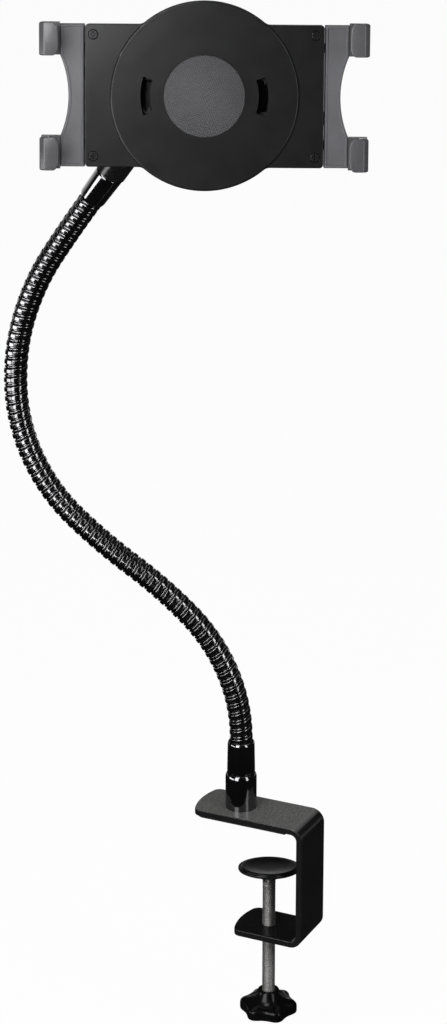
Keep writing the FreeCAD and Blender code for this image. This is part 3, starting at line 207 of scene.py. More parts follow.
@dataclass(frozen=True)
class Finish:
    """A smooth finish whose colour and gloss wander a little, as handling leaves them."""

    name: str
    slot: Slot
    colour: Colour
    roughness: float
    metallic: float = 0.0
    specular: float = 0.5
    wander: float = 0.12
    patch: float = 45.0
    patch_edge: Span = (0.3, 0.7)
    smear: float = 0.3
    waves: float = 180.0
    depth: float = 0.01

    def shaded(self, factor: float, lift: float = 0.0) -> Colour:
        """The colour, times a factor and lifted."""
        return tuple(min(1.0, channel * factor + lift) for channel in self.colour)

    def height(self, graph: Graph) -> tuple[Value, float]:
        """The fine relief of the surface from 0 to 1, and its depth in millimetres."""
        return graph.noise(graph.place(), self.waves, 2.0), self.depth

    def tone(self, graph: Graph, relief: Value) -> Value:
        """The colour over the surface, for some finishes darker or lighter in its relief."""
        patches = graph.noise(graph.place(), self.patch, 3.0).smooth(*self.patch_edge)
        return graph.mix(patches, self.shaded(1 - self.wander), self.shaded(1 + self.wander))

    def gloss(self, graph: Graph) -> Value:
        """The roughness over the surface."""
        smears = graph.noise(graph.place(), self.patch * 2, 4.0, 0.6)
        return smears * (self.roughness * self.smear) + self.roughness * (1 - self.smear / 2)

    def material(self) -> bpy.types.Material:
        """The finish as a material, made once.

        Returns:
            The material.
        """
        made = bpy.data.materials.get(self.name)
        if made is not None:
            return made
        made = bpy.data.materials.new(self.name)
        graph = Graph(made)
        relief, depth = self.height(graph)
        graph.principled({
            "Base Color": self.tone(graph, relief),
            "Roughness": self.gloss(graph),
            "Metallic": self.metallic,
            "Specular IOR Level": self.specular,
            "Normal": graph.bump(relief, depth),
        })
        return made


@dataclass(frozen=True)
class GlossPaint(Finish):
    """Gloss paint on steel, with a faint orange peel and a few specks of dust in it."""

    peel: float = 420.0
    speck: float = 2520.0
    speck_edge: Span = (0.74, 0.8)
    speck_height: float = 0.6
    depth: float = 0.004

    def height(self, graph: Graph) -> tuple[Value, float]:
        """Long soft waves with small specks on them."""
        specks = graph.noise(graph.place(), self.speck, 1.0).smooth(*self.speck_edge)
        return graph.noise(graph.place(), self.peel, 1.0) + specks * self.speck_height, self.depth


@dataclass(frozen=True)
class ShelfPaint(GlossPaint):
    """Gloss paint lightened where its top shelf faces up: pale dust in fine specks, and painted top light.
    """

    # painted top light and pale dust: the grey that the top shelf is lightened toward
    dust: Colour = (0.2, 0.2, 0.196)
    dust_grain: float = 1400.0
    dust_edge: Span = (0.3, 0.75)
    least_dust_and_light: float = 0.25
    # where the painted top light and dust lie: faces this near to up, at or over the shelf's height
    level: Span = (0.75, 0.98)
    shelf: Span = (-4.0, -3.0)

    def tone(self, graph: Graph, relief: Value) -> Value:
        """The paint, with pale dust and painted top light where it faces up at the shelf's height or over
        it.

        Args:
            graph: The material's graph.
            relief: The surface's relief.

        Returns:
            The colour.
        """
        spot = graph.place()
        up = graph.along(graph.add("ShaderNodeNewGeometry", output="Normal"), "Z").smooth(*self.level)
        high = graph.along(spot, "Z").smooth(*(height * MM for height in self.shelf))
        specks = graph.noise(spot, self.dust_grain, 3.0, 0.8).smooth(*self.dust_edge)
        # painted top light and dust: a least share all over the shelf, the rest in the specks
        dust_and_top_light = specks * (1 - self.least_dust_and_light) + self.least_dust_and_light
        return graph.mix(up * high * dust_and_top_light, super().tone(graph, relief), self.dust)


@dataclass(frozen=True)
class SparkedPlastic(Finish):
    """Moulded plastic with the fine even grain of a spark-eroded mould."""

    grain: float = 2600.0
    tip_lightening: float = 0.55
    tips: Span = (0.52, 0.72)
    pale: Span = (1.5, 0.001)
    depth: float = 0.03

    def height(self, graph: Graph) -> tuple[Value, float]:
        """Small rounded grains of about 0.4 mm."""
        return graph.noise(graph.place(), self.grain, 2.0, 0.6), self.depth

    def tone(self, graph: Graph, relief: Value) -> Value:
        """The colour, a little lighter on the tips of the grain."""
        # the colour is lifted on the high points of the grain's relief
        lighter_tips = relief.smooth(*self.tips) * self.tip_lightening
        return graph.mix(lighter_tips, super().tone(graph, relief), self.shaded(*self.pale))


@dataclass(frozen=True)
class Rubber(Finish):
    """Soft rubber with a fine grain and the pale bloom of dust in it."""

    grain: float = 1500.0
    dust: float = 320.0
    dust_edge: Span = (0.5, 0.75)
    pale: Span = (1.5, 0.01)
    bloom: float = 0.35
    depth: float = 0.03

    def height(self, graph: Graph) -> tuple[Value, float]:
        """A fine uneven grain."""
        return graph.noise(graph.place(), self.grain, 4.0, 0.65), self.depth

    def tone(self, graph: Graph, relief: Value) -> Value:
        """The colour, with dust in patches."""
        dust = graph.noise(graph.place(), self.dust, 5.0, 0.7).smooth(*self.dust_edge)
        return graph.mix(dust * self.bloom, super().tone(graph, relief), self.shaded(*self.pale))


@dataclass(frozen=True)
class WovenRubber(Rubber):
    """Rubber moulded with a fine slanted weave, in the plane that the holder faces."""

    thread: float = 1.25
    lean: float = 9.6
    slant: float = 28.0
    lint: float = 0.2
    # painted shade: how dark the weave's hollows are painted, as a share of the colour
    shade: float = 0.3
    hollows: Span = (0.35, 0.8)
    depth: float = 0.16

    def height(self, graph: Graph) -> tuple[Value, float]:
        """Two sets of fine ribs that cross.

        Args:
            graph: The material's graph.

        Returns:
            The relief and its depth.
        """
        flat = graph.place((self.lean, 0, 0))
        slant = (0, math.radians(self.slant), 0)
        slanted = graph.add("ShaderNodeMapping", None, {"Vector": flat, "Rotation": slant})
        turns = math.tau / (self.thread * MM)
        across, up = ((graph.along(slanted, axis) * turns).sine() for axis in "XZ")
        return across * up * 0.5 + 0.5 + graph.noise(flat, self.grain, 2.0) * self.lint, self.depth

    def tone(self, graph: Graph, relief: Value) -> Value:
        """The colour, with painted shade darkening the hollows of the weave."""
        # painted shade in the hollows of the weave
        weave = relief.smooth(*self.hollows)
        return graph.mix(weave, self.shaded(self.shade), super().tone(graph, relief))


@dataclass(frozen=True)
class PlatedSteel(Finish):
    """Turned or drawn steel under plating: fine lines round the axis, and a mottled tone."""

    lines: float = 900.0
    flatness: float = 3.0
    stains: float = 700.0
    stain_edge: Span = (0.48, 0.7)
    stain: float = 0.5
    shade: float = 0.35

    def height(self, graph: Graph) -> tuple[Value, float]:
        """Fine lines that lie level."""
        where = graph.place(stretch=(1, 1, self.flatness))
        return graph.noise(where, self.lines, 3.0, 0.6), self.depth

    def tone(self, graph: Graph, relief: Value) -> Value:
        """The colour, with the dark stains that plating takes in its hollows."""
        stain = graph.noise(graph.place(), self.stains, 5.0, 0.7).smooth(*self.stain_edge)
        return graph.mix(stain * self.stain, super().tone(graph, relief), self.shaded(self.shade))


BRACKET_PAINT = ShelfPaint("bracket_paint", Slot.GLOSS_PAINT, (0.006, 0.006, 0.0065), 0.24)
KNUCKLE_PAINT = GlossPaint("knuckle_paint", Slot.GLOSS_PAINT, (0.006, 0.006, 0.0065), 0.2)
COLLAR_PLATE = GlossPaint("collar_plate", Slot.NECK, (0.2, 0.2, 0.205), 0.1, metallic=1.0, depth=0.0005)
COIL_PLATE = GlossPaint("coil_plate", Slot.NECK, (0.2, 0.2, 0.205), 0.13, metallic=1.0, depth=0.0005)
SHELL_PLASTIC = SparkedPlastic("shell_plastic", Slot.SHELL, (0.004, 0.004, 0.0042), 0.3, depth=0.006)
ARM_PLASTIC = SparkedPlastic("arm_plastic", Slot.SHELL, (0.0045, 0.0045, 0.0047), 0.38, depth=0.008)
PANEL_PLASTIC = SparkedPlastic("panel_plastic", Slot.PANEL, (0.088, 0.088, 0.096), 0.45, depth=0.015)
CLAW_RUBBER = Rubber("claw_rubber", Slot.GRIP, (0.057, 0.057, 0.061), 0.32, specular=0.7)
WEAVE_RUBBER = WovenRubber("weave_rubber", Slot.GRIP, (0.06, 0.06, 0.064), 0.6)
FOOT_RUBBER = Rubber(
    "foot_rubber", Slot.PAD, (0.004, 0.004, 0.0045), 0.26, specular=0.25, bloom=0.1, depth=0.01
)
BLACK_RUBBER = Rubber("black_rubber", Slot.PAD, (0.01, 0.01, 0.0105), 0.55, bloom=0.15)
KNOB_PLASTIC = Finish("knob_plastic_gloss", Slot.KNOB, (0.0025, 0.0025, 0.0028), 0.2, specular=0.22)
FOOT_PLASTIC = Finish("foot_plastic", Slot.KNOB, (0.005, 0.005, 0.0055), 0.24, specular=0.35)
ZINC = PlatedSteel("zinc_plate", Slot.ZINC, (0.45, 0.445, 0.43), 0.5, 1.0)
BRIGHT_STEEL = PlatedSteel("bright_steel", Slot.ZINC, (0.6, 0.6, 0.59), 0.28, 1.0)
BLACKED_STEEL = Finish("blacked_steel", Slot.BLACK_SCREW, (0.03, 0.03, 0.032), 0.28, 0.7)
NYLON = Finish("natural_nylon", Slot.NYLON, (0.74, 0.73, 0.68), 0.45)


class Form:
    """A mesh in the making: a bmesh with the few moves that these pieces need, in metres."""

    def __init__(self) -> None:
        """Starts with nothing."""
        self.bm = bmesh.new()

    def corners(self, places: Sequence[Triple]) -> list[bmesh.types.BMVert]:
        """Adds vertices at places in millimetres."""
        return [self.bm.verts.new(Vector(place) * MM) for place in places]

    def sweep(self, shape: Shape, steps: int, pitch: float = 0.0, turns: int = 1) -> "Form":
        """Spins a shape about Z, and closes what that leaves open.

        Args:
            shape: The vertices and edges to spin.
            steps: How many steps a turn has.
            pitch: The rise of one turn in millimetres, or none for a closed ring.
            turns: How many turns.

        Returns:
            This form.
        """
        bmesh.ops.spin(
            self.bm, geom=shape, cent=(0, 0, 0), axis=(0, 0, 1), dvec=(0, 0, pitch * MM / steps),
            angle=math.tau * turns, steps=steps * turns, use_merge=pitch == 0,
        )
        return self.tidy()

    def turn(self, profile: Sequence[Corner], steps: int, pitch: float = 0.0, turns: int = 1) -> "Form":
        """Turns a profile about Z into a closed form, or winds it up Z as a thread or a coil's skin.

        Args:
            profile: (radius, height) corners in millimetres, from axis to axis, closed on itself, or
                over one pitch.
            steps: How many steps a turn has.
            pitch: The rise of one turn in millimetres, or none for a closed form.
            turns: How many turns.

        Returns:
            This form.
        """
        line = self.corners([(radius, 0, height) for radius, height in profile])
        edges = [self.bm.edges.new(pair) for pair in zip(line, line[1:])]
        return self.sweep(line + edges, steps, pitch, turns)

    def slab(self, outline: Sequence[Corner], front: float, back: float) -> "Form":
        """Extrudes an outline in X and Z from one Y plane to another.

        Args:
            outline: (x, z) corners in millimetres.
            front: The first plane's Y.
            back: The second plane's Y.

        Returns:
            This form.
        """
        face = self.bm.faces.new(self.corners([(x, front, z) for x, z in outline]))
        made = bmesh.ops.extrude_face_region(self.bm, geom=[face])["geom"]
        moved = [item for item in made if isinstance(item, bmesh.types.BMVert)]
        bmesh.ops.translate(self.bm, verts=moved, vec=(0, (back - front) * MM, 0))
        return self.tidy()

    def tube(self, radius: float, wire: float, pitch: float, turns: int) -> "Form":
        """Winds a round wire up the Z axis.

        Args:
            radius: From the axis to the middle of the wire, in millimetres.
            wire: The wire's own radius.
            pitch: The rise of one turn, or none for a ring.
            turns: How many turns.

        Returns:
            This form.
        """
        ring = bmesh.ops.create_circle(self.bm, segments=WIRE_SIDES, radius=wire * MM)["verts"]
        stand = Matrix.Translation((radius * MM, 0, 0)) @ Matrix.Rotation(math.pi / 2, 4, "X")
        bmesh.ops.transform(self.bm, matrix=stand, verts=ring)
        edges = list({edge for vert in ring for edge in vert.link_edges})
        return self.sweep(ring + edges, WIRE_STEPS, pitch, turns)

    def tidy(self) -> "Form":
        """Merges doubles, closes open ends and points the faces outwards.

        Returns:
            This form.
        """
        bmesh.ops.remove_doubles(self.bm, verts=self.bm.verts, dist=SAME_PLACE_M)
        open_edges = [edge for edge in self.bm.edges if edge.is_boundary]
        if open_edges:
            bmesh.ops.holes_fill(self.bm, edges=open_edges, sides=0)
        bmesh.ops.recalc_face_normals(self.bm, faces=self.bm.faces)
        return self

    def soften(self, width: float, segments: int, where: Callable[[Vector], bool]) -> "Form":
        """Rounds some of the form's sharp edges.

        Args:
            width: The rounding's width in millimetres.
            segments: How many faces it has.
            where: Tells from the middle of an edge, in millimetres, whether to round it.

        Returns:
            This form.
        """
        sharp = [
            edge for edge in self.bm.edges
            if edge.is_manifold and edge.calc_face_angle(0.0) > SHARP_EDGE
            and where((edge.verts[0].co + edge.verts[1].co) * 0.5 / MM)
        ]
        bmesh.ops.bevel(
            self.bm, geom=sharp, offset=width * MM, affect="EDGES", segments=segments, profile=0.5,
            material=-1, clamp_overlap=True,
        )
        return self

    def move(self, matrix: Matrix) -> "Form":
        """Moves the form by a matrix in metres."""
        bmesh.ops.transform(self.bm, matrix=matrix, verts=self.bm.verts)
        return self

    def join(self, other: "Form") -> "Form":
        """Takes another form's mesh into this one.

        Args:
            other: The other form, which is used up.

        Returns:
            This form.
        """
        carried = bpy.data.meshes.new("carried")
        other.bm.to_mesh(carried)
        other.bm.free()
        self.bm.from_mesh(carried)
        bpy.data.meshes.remove(carried)
        return self


@dataclass(frozen=True)
class Station:
    """A place along the gooseneck: where it is, which way it runs, and what is left and back."""

    point: Vector
    ahead: Vector
    left: Vector
    back: Vector

    def further(self, length: float, bend_left: float = 0.0, bend_back: float = 0.0) -> "Station":
        """The station at the end of an arc from here.

        Args:
            length: How far, in millimetres.
            bend_left: How many degrees the arc bends left.
            bend_back: How many degrees it bends back.

        Returns:
            The next station.
        """
        angle = math.radians(math.hypot(bend_left, bend_back))
        if angle == 0:
            return Station(self.point + self.ahead * length, self.ahead, self.left, self.back)
        toward = (self.left * bend_left + self.back * bend_back).normalized()
        turn = Matrix.Rotation(angle, 3, self.ahead.cross(toward))
        radius = length / angle
        step = self.ahead * (radius * math.sin(angle)) + toward * (radius * (1 - math.cos(angle)))
        return Station(self.point + step, turn @ self.ahead, turn @ self.left, turn @ self.back)

    def at(self, spot: Vector) -> Vector:
        """The model's place in millimetres for an X and Y in this station's cross-section."""
        return self.point + self.left * spot.x + self.ahead.cross(self.left) * spot.y


@dataclass(frozen=True)
class NeckLine:
    """The gooseneck's centre line: straight ends and nine arcs, as on the drawing."""

    floor: float = 34.3
    straight: float = 16.5
    section: float = 44.0
    bends: tuple[Corner, ...] = (
        (22, 3), (22, 4), (10, 5), (-7, 1), (-22, -1), (-24, -6), (-19, -8), (-15, -8), (-2, -7)
    )

    @property
    def length(self) -> float:
        """The gooseneck's whole length."""
        return 2 * self.straight + len(self.bends) * self.section

    def starts(self) -> list[Station]:
        """The stations where the arcs start, and the last one's end.

        Returns:
            One station more than there are arcs.
        """
        foot = Vector((0, 0, self.floor))
        first = Station(foot, Vector((0, 0, 1)), Vector((-1, 0, 0)), Vector((0, 1, 0)))
        stations = [first.further(self.straight)]
        for bend_left, bend_back in self.bends:
            stations.append(stations[-1].further(self.section, bend_left, bend_back))
        return stations

    def station(self, distance: float, starts: Sequence[Station]) -> Station:
        """The station this far from the gooseneck's lower end.

        Args:
            distance: How far, in millimetres.
            starts: The arcs' starts.

        Returns:
            The station.
        """
        beyond = distance - self.straight
        index = min(max(int(beyond // self.section), 0), len(self.bends))
        left_over = beyond - index * self.section
        if beyond < 0 or index == len(self.bends):
            return starts[index].further(left_over)
        share = left_over / self.section
        bend_left, bend_back = self.bends[index]
        return starts[index].further(left_over, bend_left * share, bend_back * share)


@dataclass
class Assembly:
    """Pieces that belong together; each kind of assembly adds its own sizes."""

    made: list[str] = field(default_factory=list, init=False)

    def add(
        self, form: Form, name: str, finish: Finish, body: str | None, replaces: Sequence[str] = (),
        sharp: float = 50.0,
    ) -> bpy.types.Object:
        """Makes a piece of a form that is already in the model's frame.

        Args:
            form: The form, which is used up.
            name: The piece's name.
            finish: Its finish.
            body: The body it rides on, or None to attach it to none.
            replaces: The CAD nodes that it stands for.
            sharp: Edges sharper than this stay crisp, in degrees.

        Returns:
            The piece.
        """
        mesh = bpy.data.meshes.new(name)
        form.bm.to_mesh(mesh)
        form.bm.free()
        mesh.shade_smooth()
        mesh.set_sharp_from_angle(angle=math.radians(sharp))
        mesh.materials.append(finish.material())
        piece = bpy.data.objects.new(name, mesh)
        bpy.context.scene.collection.objects.link(piece)
        if body is not None:
            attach(piece, body)
        if replaces:
            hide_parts(*replaces)
        self.made.append(name)
        log.info("%s: %d faces", name, len(mesh.polygons))
        return piece

    def refine(
        self, node: str, name: str, finish: Finish, body: str, width: float, segments: int = 3,
        sharp: float = 40.0,
    ) -> None:
        """Stands in for a CAD node with a copy of it whose edges are rounded.

        Args:
            node: The CAD node.
            name: The piece's name.
            finish: Its finish.
            body: The body it rides on.
            width: The rounding's width in millimetres.
            segments: How many faces the rounding has.
            sharp: Edges sharper than this are rounded, in degrees.
        """
        form = Form()
        form.bm.from_mesh(frame["nodes"][node].data)
        bmesh.ops.remove_doubles(form.bm, verts=form.bm.verts, dist=CAD_GRAIN_M)
        bmesh.ops.dissolve_limit(
            form.bm, angle_limit=FLAT_EDGE, verts=form.bm.verts, edges=form.bm.edges,
            use_dissolve_boundaries=False,
        )
        piece = self.add(form, name, finish, body, (node,), sharp)
        round_off = piece.modifiers.new("round_off", "BEVEL")
        round_off.width = width * MM
        round_off.segments = segments
        round_off.limit_method = "ANGLE"
        round_off.angle_limit = math.radians(sharp)
        even = piece.modifiers.new("even_shading", "WEIGHTED_NORMAL")
        even.keep_sharp = True
        even.weight = 100

    def dress(self, finish: Finish, *nodes: str) -> None:
        """Gives CAD nodes that are already right their finish.

        Args:
            finish: The finish.
            nodes: The nodes' names.
        """
        for node in nodes:
            piece = frame["nodes"][node]
            for slot in piece.material_slots:
                slot.material = finish.material()
            self.made.append(node)
            log.info("%s: as drawn, in %s", node, finish.name)


@dataclass
class Gooseneck(Assembly):
    """The ribbed neck: a round wire wound in a coil, with a wedge-shaped wire in its groove."""

    line: NeckLine = field(default_factory=NeckLine)
    pitch: float = 5.5
    steps: int = 32
    ease: float = 16.0
    skin: tuple[Corner, ...] = (
        (5.9, 0.0), (6.6, 0.03), (6.9, 0.06), (7.0, 0.11), (7.0, 0.14), (7.0, 0.45), (7.0, 0.48),
        (6.9, 0.53), (6.6, 0.56), (5.9, 0.62), (6.4, 0.66), (6.6, 0.69), (6.66, 0.73), (6.66, 0.8),
        (6.6, 0.84), (6.4, 0.87), (5.9, 0.92), (5.9, 1.0),
    )

    def length_of_coil(self, first: int, last: int, starts: Sequence[Station]) -> Form:
        """The coil from one turn to another, bent along the neck's line.

        Args:
            first: The first turn.
            last: The turn after the last.
            starts: The starts of the line's arcs.

        Returns:
            The form, in the model's frame.
        """
        profile = [(radius, share * self.pitch) for radius, share in self.skin]
        form = Form().turn(profile, self.steps, self.pitch, last - first)
        for vert in form.bm.verts:
            spot = vert.co / MM
            station = self.line.station(spot.z + first * self.pitch - self.pitch / 2, starts)
            vert.co = station.at(spot) * MM
        return form

    def build(self) -> None:
        """Builds the eight lengths, each of which is laid along the neck's line across one of its links.
        """
        starts = self.line.starts()
        ends = round(self.line.straight / self.pitch)
        run = round(self.line.section / self.pitch)
        links = len(self.line.bends) - 1
        for link in range(1, links + 1):
            first = 0 if link == 1 else ends + run * link - run // 2
            last = ends * 2 + run * (links + 1) if link == links else ends + run * link + run // 2
            nodes = [f"gooseneck_{link}"] + ([f"gooseneck_{link + 1}"] if link == links else [])
            form = self.length_of_coil(first, last, starts)
            piece = self.add(form, f"neck_coil_{link}", COIL_PLATE, None, nodes)
            here = self.line.station(self.line.straight + link * self.line.section, starts)
            below, above = (here.point + here.ahead * reach for reach in (-self.ease, self.ease))
            below * MM
            above * MM
            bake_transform(piece)


@dataclass
class Collars(Assembly):
    """The turned collars that hold the gooseneck's ends."""

    socket: tuple[Corner, ...] = (
        (3.05, 5.5), (9.5, 5.5), (9.5, 25.6), (9.46, 26.1), (9.3, 26.8), (9.0, 27.6), (8.7, 28.2),
        (8.4, 28.45), (8.0, 28.5), (6.05, 28.5), (6.05, 18.4), (3.05, 18.4), (3.05, 5.5),
    )
    ferrule: tuple[Corner, ...] = (
        (0, 18.5), (6.0, 18.5), (6.0, 28.5), (7.7, 28.5), (8.15, 28.7), (8.42, 29.2), (8.5, 30.2),
        (8.17, 47.4), (8.12, 47.9), (7.95, 48.5), (7.65, 49.0), (7.3, 49.35), (7.05, 49.4), (7.05, 34.3),
        (0, 34.3),
    )
    upper: tuple[Corner, ...] = (
        (7.05, 0.0), (7.15, 0.05), (7.4, 0.55), (7.66, 1.3), (7.78, 2.2), (8.25, 20.6), (8.3, 21.4),
        (7.9, 21.95), (4.05, 22.0), (4.05, 13.95), (0, 13.95), (0, 13.0), (7.05, 13.0), (7.05, 0.0),
    )
    ferrule_depth: float = 13.0

    def build(self, line: NeckLine) -> None:
        """Turns the two lower collars and the upper one.

        Args:
            line: The gooseneck's line, which the upper collar stands on.
        """
        end = line.station(line.length, line.starts())
        for profile, place, name, body, node in (
            (self.socket, Matrix.Identity(4), "neck_socket", "clamp", "base_socket"),
            (self.ferrule, Matrix.Identity(4), "neck_ferrule", "clamp", "base_ferrule"),
            (self.upper, knuckle_place(end, self.ferrule_depth), "head_ferrule", "neck_9", "top_ferrule"),
        ):
            self.add(Form().turn(profile, ROUND_STEPS).move(place), name, COLLAR_PLATE, body, [node])
        self.dress(BRIGHT_STEEL, "base_screw")


def facing() -> Vector:
    """The way the holder's front faces, from the joint that it turns on."""
    return joint_vector("head_rotate", "axis")


def joint_vector(name: str, key: str) -> Vector:
    """The place ("pos_m") or the "axis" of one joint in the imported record."""
    return next(Vector(joint[key]) for joint in frame["joints"] if joint["name"] == name)


def knuckle_place(end: Station, depth: float) -> Matrix:
    """The knuckle's frame: origin at the upper ferrule's mouth, Z along the arm, X the tilt axis.

    Args:
        end: The gooseneck's upper end.
        depth: How far the gooseneck goes into the ferrule.

    Returns:
        The frame as a matrix.
    """
    x_axis = end.ahead.cross(facing()).normalized()
    y_axis = end.ahead.cross(x_axis)
    turn = Matrix((x_axis, y_axis, end.ahead)).transposed().to_4x4()
    return Matrix.Translation((end.point - end.ahead * depth) * MM) @ turn


def holder_place() -> Matrix:
    """The holder's frame: X right, Y back, Z up, origin at the middle of its front disc.

    Returns:
        The frame as a matrix.
    """
    right = joint_vector("right_arm_slide", "axis")
    back = -facing()
    turn = Matrix((right, back, right.cross(back))).transposed().to_4x4()
    return Matrix.Translation(joint_vector("head_rotate", "pos_m")) @ turn


@dataclass
class DeskClamp(Assembly):
    """The painted strip and the pad under it."""

    edge: float = 0.7
    pad_edge: float = 0.3

    def build(self) -> None:
        """Rounds the strip's and the pad's edges."""
        self.refine("clamp_bracket", "clamp_strip", BRACKET_PAINT, "clamp", self.edge, 4)
        self.refine("desk_pad", "desk_pad_rubber", BLACK_RUBBER, "clamp", self.pad_edge, 2)


@dataclass
class ScrewAndKnob(Assembly):
    """The threaded spindle and the star knob moulded on its lower end."""

    pitch: float = 1.25
    turns: int = 68
    thread_steps: int = 24
    core_steps: int = 32
    thread_top: float = -43.7
    flank: tuple[Corner, ...] = ((3.35, 0.0), (4.0, 0.42), (4.0, 0.56), (3.35, 1.0))
    core: tuple[Corner, ...] = (
        (0, -129.5), (3.35, -129.5), (3.35, -43.8), (4.0, -43.7), (3.8, -42.6), (1.3, -42.6),
        (1.3, -35.8), (0, -35.8),
    )
    stance: float = -25.5
    knob_bottom: float = -131.0
    lobes: int = 6
    turn: float = 15.5
    valley: float = 1.25
    around: int = 144
    rings: tuple[Triple, ...] = (
        (0.35, 8.2, 7.8), (0.0, 9.0, 8.6), (0.0, 16.4, 13.9), (0.15, 17.1, 14.5), (0.5, 17.6, 14.9),
        (1.2, 17.85, 15.1), (2.6, 17.9, 15.15), (5.0, 17.85, 15.1), (5.9, 17.6, 14.9), (6.5, 17.1, 14.5),
        (6.85, 16.3, 13.9), (7.15, 14.8, 13.1), (7.6, 13.2, 12.1), (8.6, 11.6, 11.0), (10.0, 9.8, 9.5),
        (11.8, 8.3, 8.15), (13.4, 7.2, 7.15), (14.3, 6.75, 6.72), (14.8, 6.5, 6.5), (15.0, 6.0, 6.0),
        (15.0, 4.4, 4.4), (14.6, 4.05, 4.05), (1.4, 4.05, 4.05),
    )

    def thread(self) -> Form:
        """The spindle with its thread and its plain nose.

        Returns:
            The form, about the screw's own axis.
        """
        profile = [(radius, share * self.pitch) for radius, share in self.flank]
        start = self.thread_top - self.turns * self.pitch
        coil = Form().turn(profile, self.thread_steps, self.pitch, self.turns)
        coil.move(Matrix.Translation((0, 0, start * MM)))
        return coil.join(Form().turn(self.core, self.core_steps))

    def shape(self, ring: Sequence[bmesh.types.BMVert], height: float, outer: float, inner: float) -> None:
        """Puts a ring of vertices on the star.

        Args:
            ring: The vertices, whose angles about the axis stay.
            height: The ring's height over the knob's bottom.
            outer: The radius at the lobes.
            inner: The radius between them.
        """
        for vert in ring:
            angle = math.atan2(vert.co.y, vert.co.x)
            wave = 0.5 + 0.5 * math.cos(self.lobes * (angle - math.radians(self.turn)))
            radius = inner + (outer - inner) * wave ** self.valley
            place = (math.cos(angle) * radius, math.sin(angle) * radius, self.knob_bottom + height)
            vert.co = Vector(place) * MM

    def star(self) -> Form:
        """The knob: a rounded star that flows up into a conical hub.

        Returns:
            The form, about the screw's own axis.
        """
        form = Form()
        made = bmesh.ops.create_circle(form.bm, cap_ends=True, segments=self.around, radius=MM)
        self.shape(made["verts"], *self.rings[0])
        for ring in self.rings[1:]:
            rim = [edge for edge in form.bm.edges if edge.is_boundary]
            made = bmesh.ops.extrude_edge_only(form.bm, edges=rim)["geom"]
            self.shape([item for item in made if isinstance(item, bmesh.types.BMVert)], *ring)
        return form.tidy()

    def build(self) -> None:
        """Builds the spindle and the knob."""
        axis = joint_vector("clamp_screw_turn", "pos_m")
        turn = Matrix.Rotation(math.radians(self.stance), 4, "Z")
        place = Matrix.Translation((axis.x, axis.y, 0)) @ turn
        self.add(self.thread().move(place), "clamp_spindle", ZINC, "screw", ["clamp_screw"], sharp=40)
        self.add(self.star().move(place), "clamp_knob", KNOB_PLASTIC, "screw", ["star_knob"])


@dataclass
class SwivelFoot(Assembly):
    """The foot that presses on the desk from below, on its ball."""

    tilt: float = -7.6
    cup: tuple[Corner, ...] = (
        (0, -32.65), (17.45, -32.65), (17.5, -32.0), (17.7, -31.8), (18.5, -31.8), (18.85, -31.95),
        (19.0, -32.4), (18.95, -33.1), (18.6, -33.6), (17.8, -34.0), (14.5, -34.75), (10.5, -35.7),
        (7.6, -36.4), (6.9, -37.0), (6.4, -38.3), (5.8, -38.9), (4.7, -38.9), (4.65, -37.0), (3.6, -36.4),
        (3.2, -35.2), (2.2, -34.2), (0, -33.45),
    )
    rubber: tuple[Corner, ...] = (
        (0, -32.6), (17.4, -32.6), (17.4, -31.75), (17.2, -31.4), (16.7, -31.2), (15.6, -31.25),
        (12.0, -31.7), (6.0, -31.98), (0, -32.0),
    )
    ball: float = -37.0

    def build(self) -> None:
        """Builds the dish and its rubber face, and dresses the ball bush."""
        pivot = joint_vector("foot_tilt", "pos_m")
        lean = Matrix.Translation(pivot) @ Matrix.Rotation(math.radians(self.tilt), 4, "X")
        place = lean @ Matrix.Translation((0, 0, -self.ball * MM))
        dish = Form().turn(self.cup, ROUND_STEPS)
        self.add(dish.move(place), "foot_dish", FOOT_PLASTIC, "foot", ["foot_cup"])
        face = Form().turn(self.rubber, ROUND_STEPS)
        self.add(face.move(place), "foot_face_rubber", FOOT_RUBBER, "foot", ["foot_rubber"])
        self.dress(ZINC, "foot_bearing", "foot_retainer")


@dataclass
class Knuckle(Assembly):
    """The painted arm behind the holder, its pivot and its knob."""

    def build(self) -> None:
        """Rounds the arm and the knob, and dresses the pivot."""
        self.refine("knuckle_arm", "knuckle_bar", KNUCKLE_PAINT, "neck_9", 0.6)
        self.refine("tilt_knob", "tilt_hand_knob", KNOB_PLASTIC, "tilt_lock", 0.35, 2)
        self.dress(BRIGHT_STEEL, "tilt_bolt", "tilt_washer")
        self.dress(NYLON, "friction_washer")


@dataclass
class HolderBody(Assembly):
    """The two shells, the round plate on the front, its pad, and the hub on the back."""

    pad: tuple[Corner, ...] = ((0, -0.9), (22.0, -0.9), (22.0, 0.25), (21.85, 0.55), (21.5, 0.8), (0, 0.8))
    pad_steps: int = 128

    def build(self) -> None:
        """Builds the shells, plate, pad, screws, hub and gear."""
        self.refine("front_housing", "holder_front", SHELL_PLASTIC, "holder", 0.4)
        self.refine("rear_cover", "holder_back", SHELL_PLASTIC, "holder", 0.4)
        self.refine("front_disc", "holder_disc", SHELL_PLASTIC, "holder", 0.5)
        self.refine("rear_hub", "holder_hub", SHELL_PLASTIC, "hub", 0.5)
        self.refine("body_screws", "holder_screws", BLACKED_STEEL, "holder", 0.12, 2)
        stand = Matrix.Rotation(math.pi / 2, 4, "X")
        pad = Form().turn(self.pad, self.pad_steps).move(holder_place() @ stand)
        self.add(pad, "holder_pad", WEAVE_RUBBER, "holder", ["centre_pad"])
        self.dress(BRIGHT_STEEL, "pinion_pin", "hub_clip")
        self.dress(NYLON, "pinion", "hub_washer")


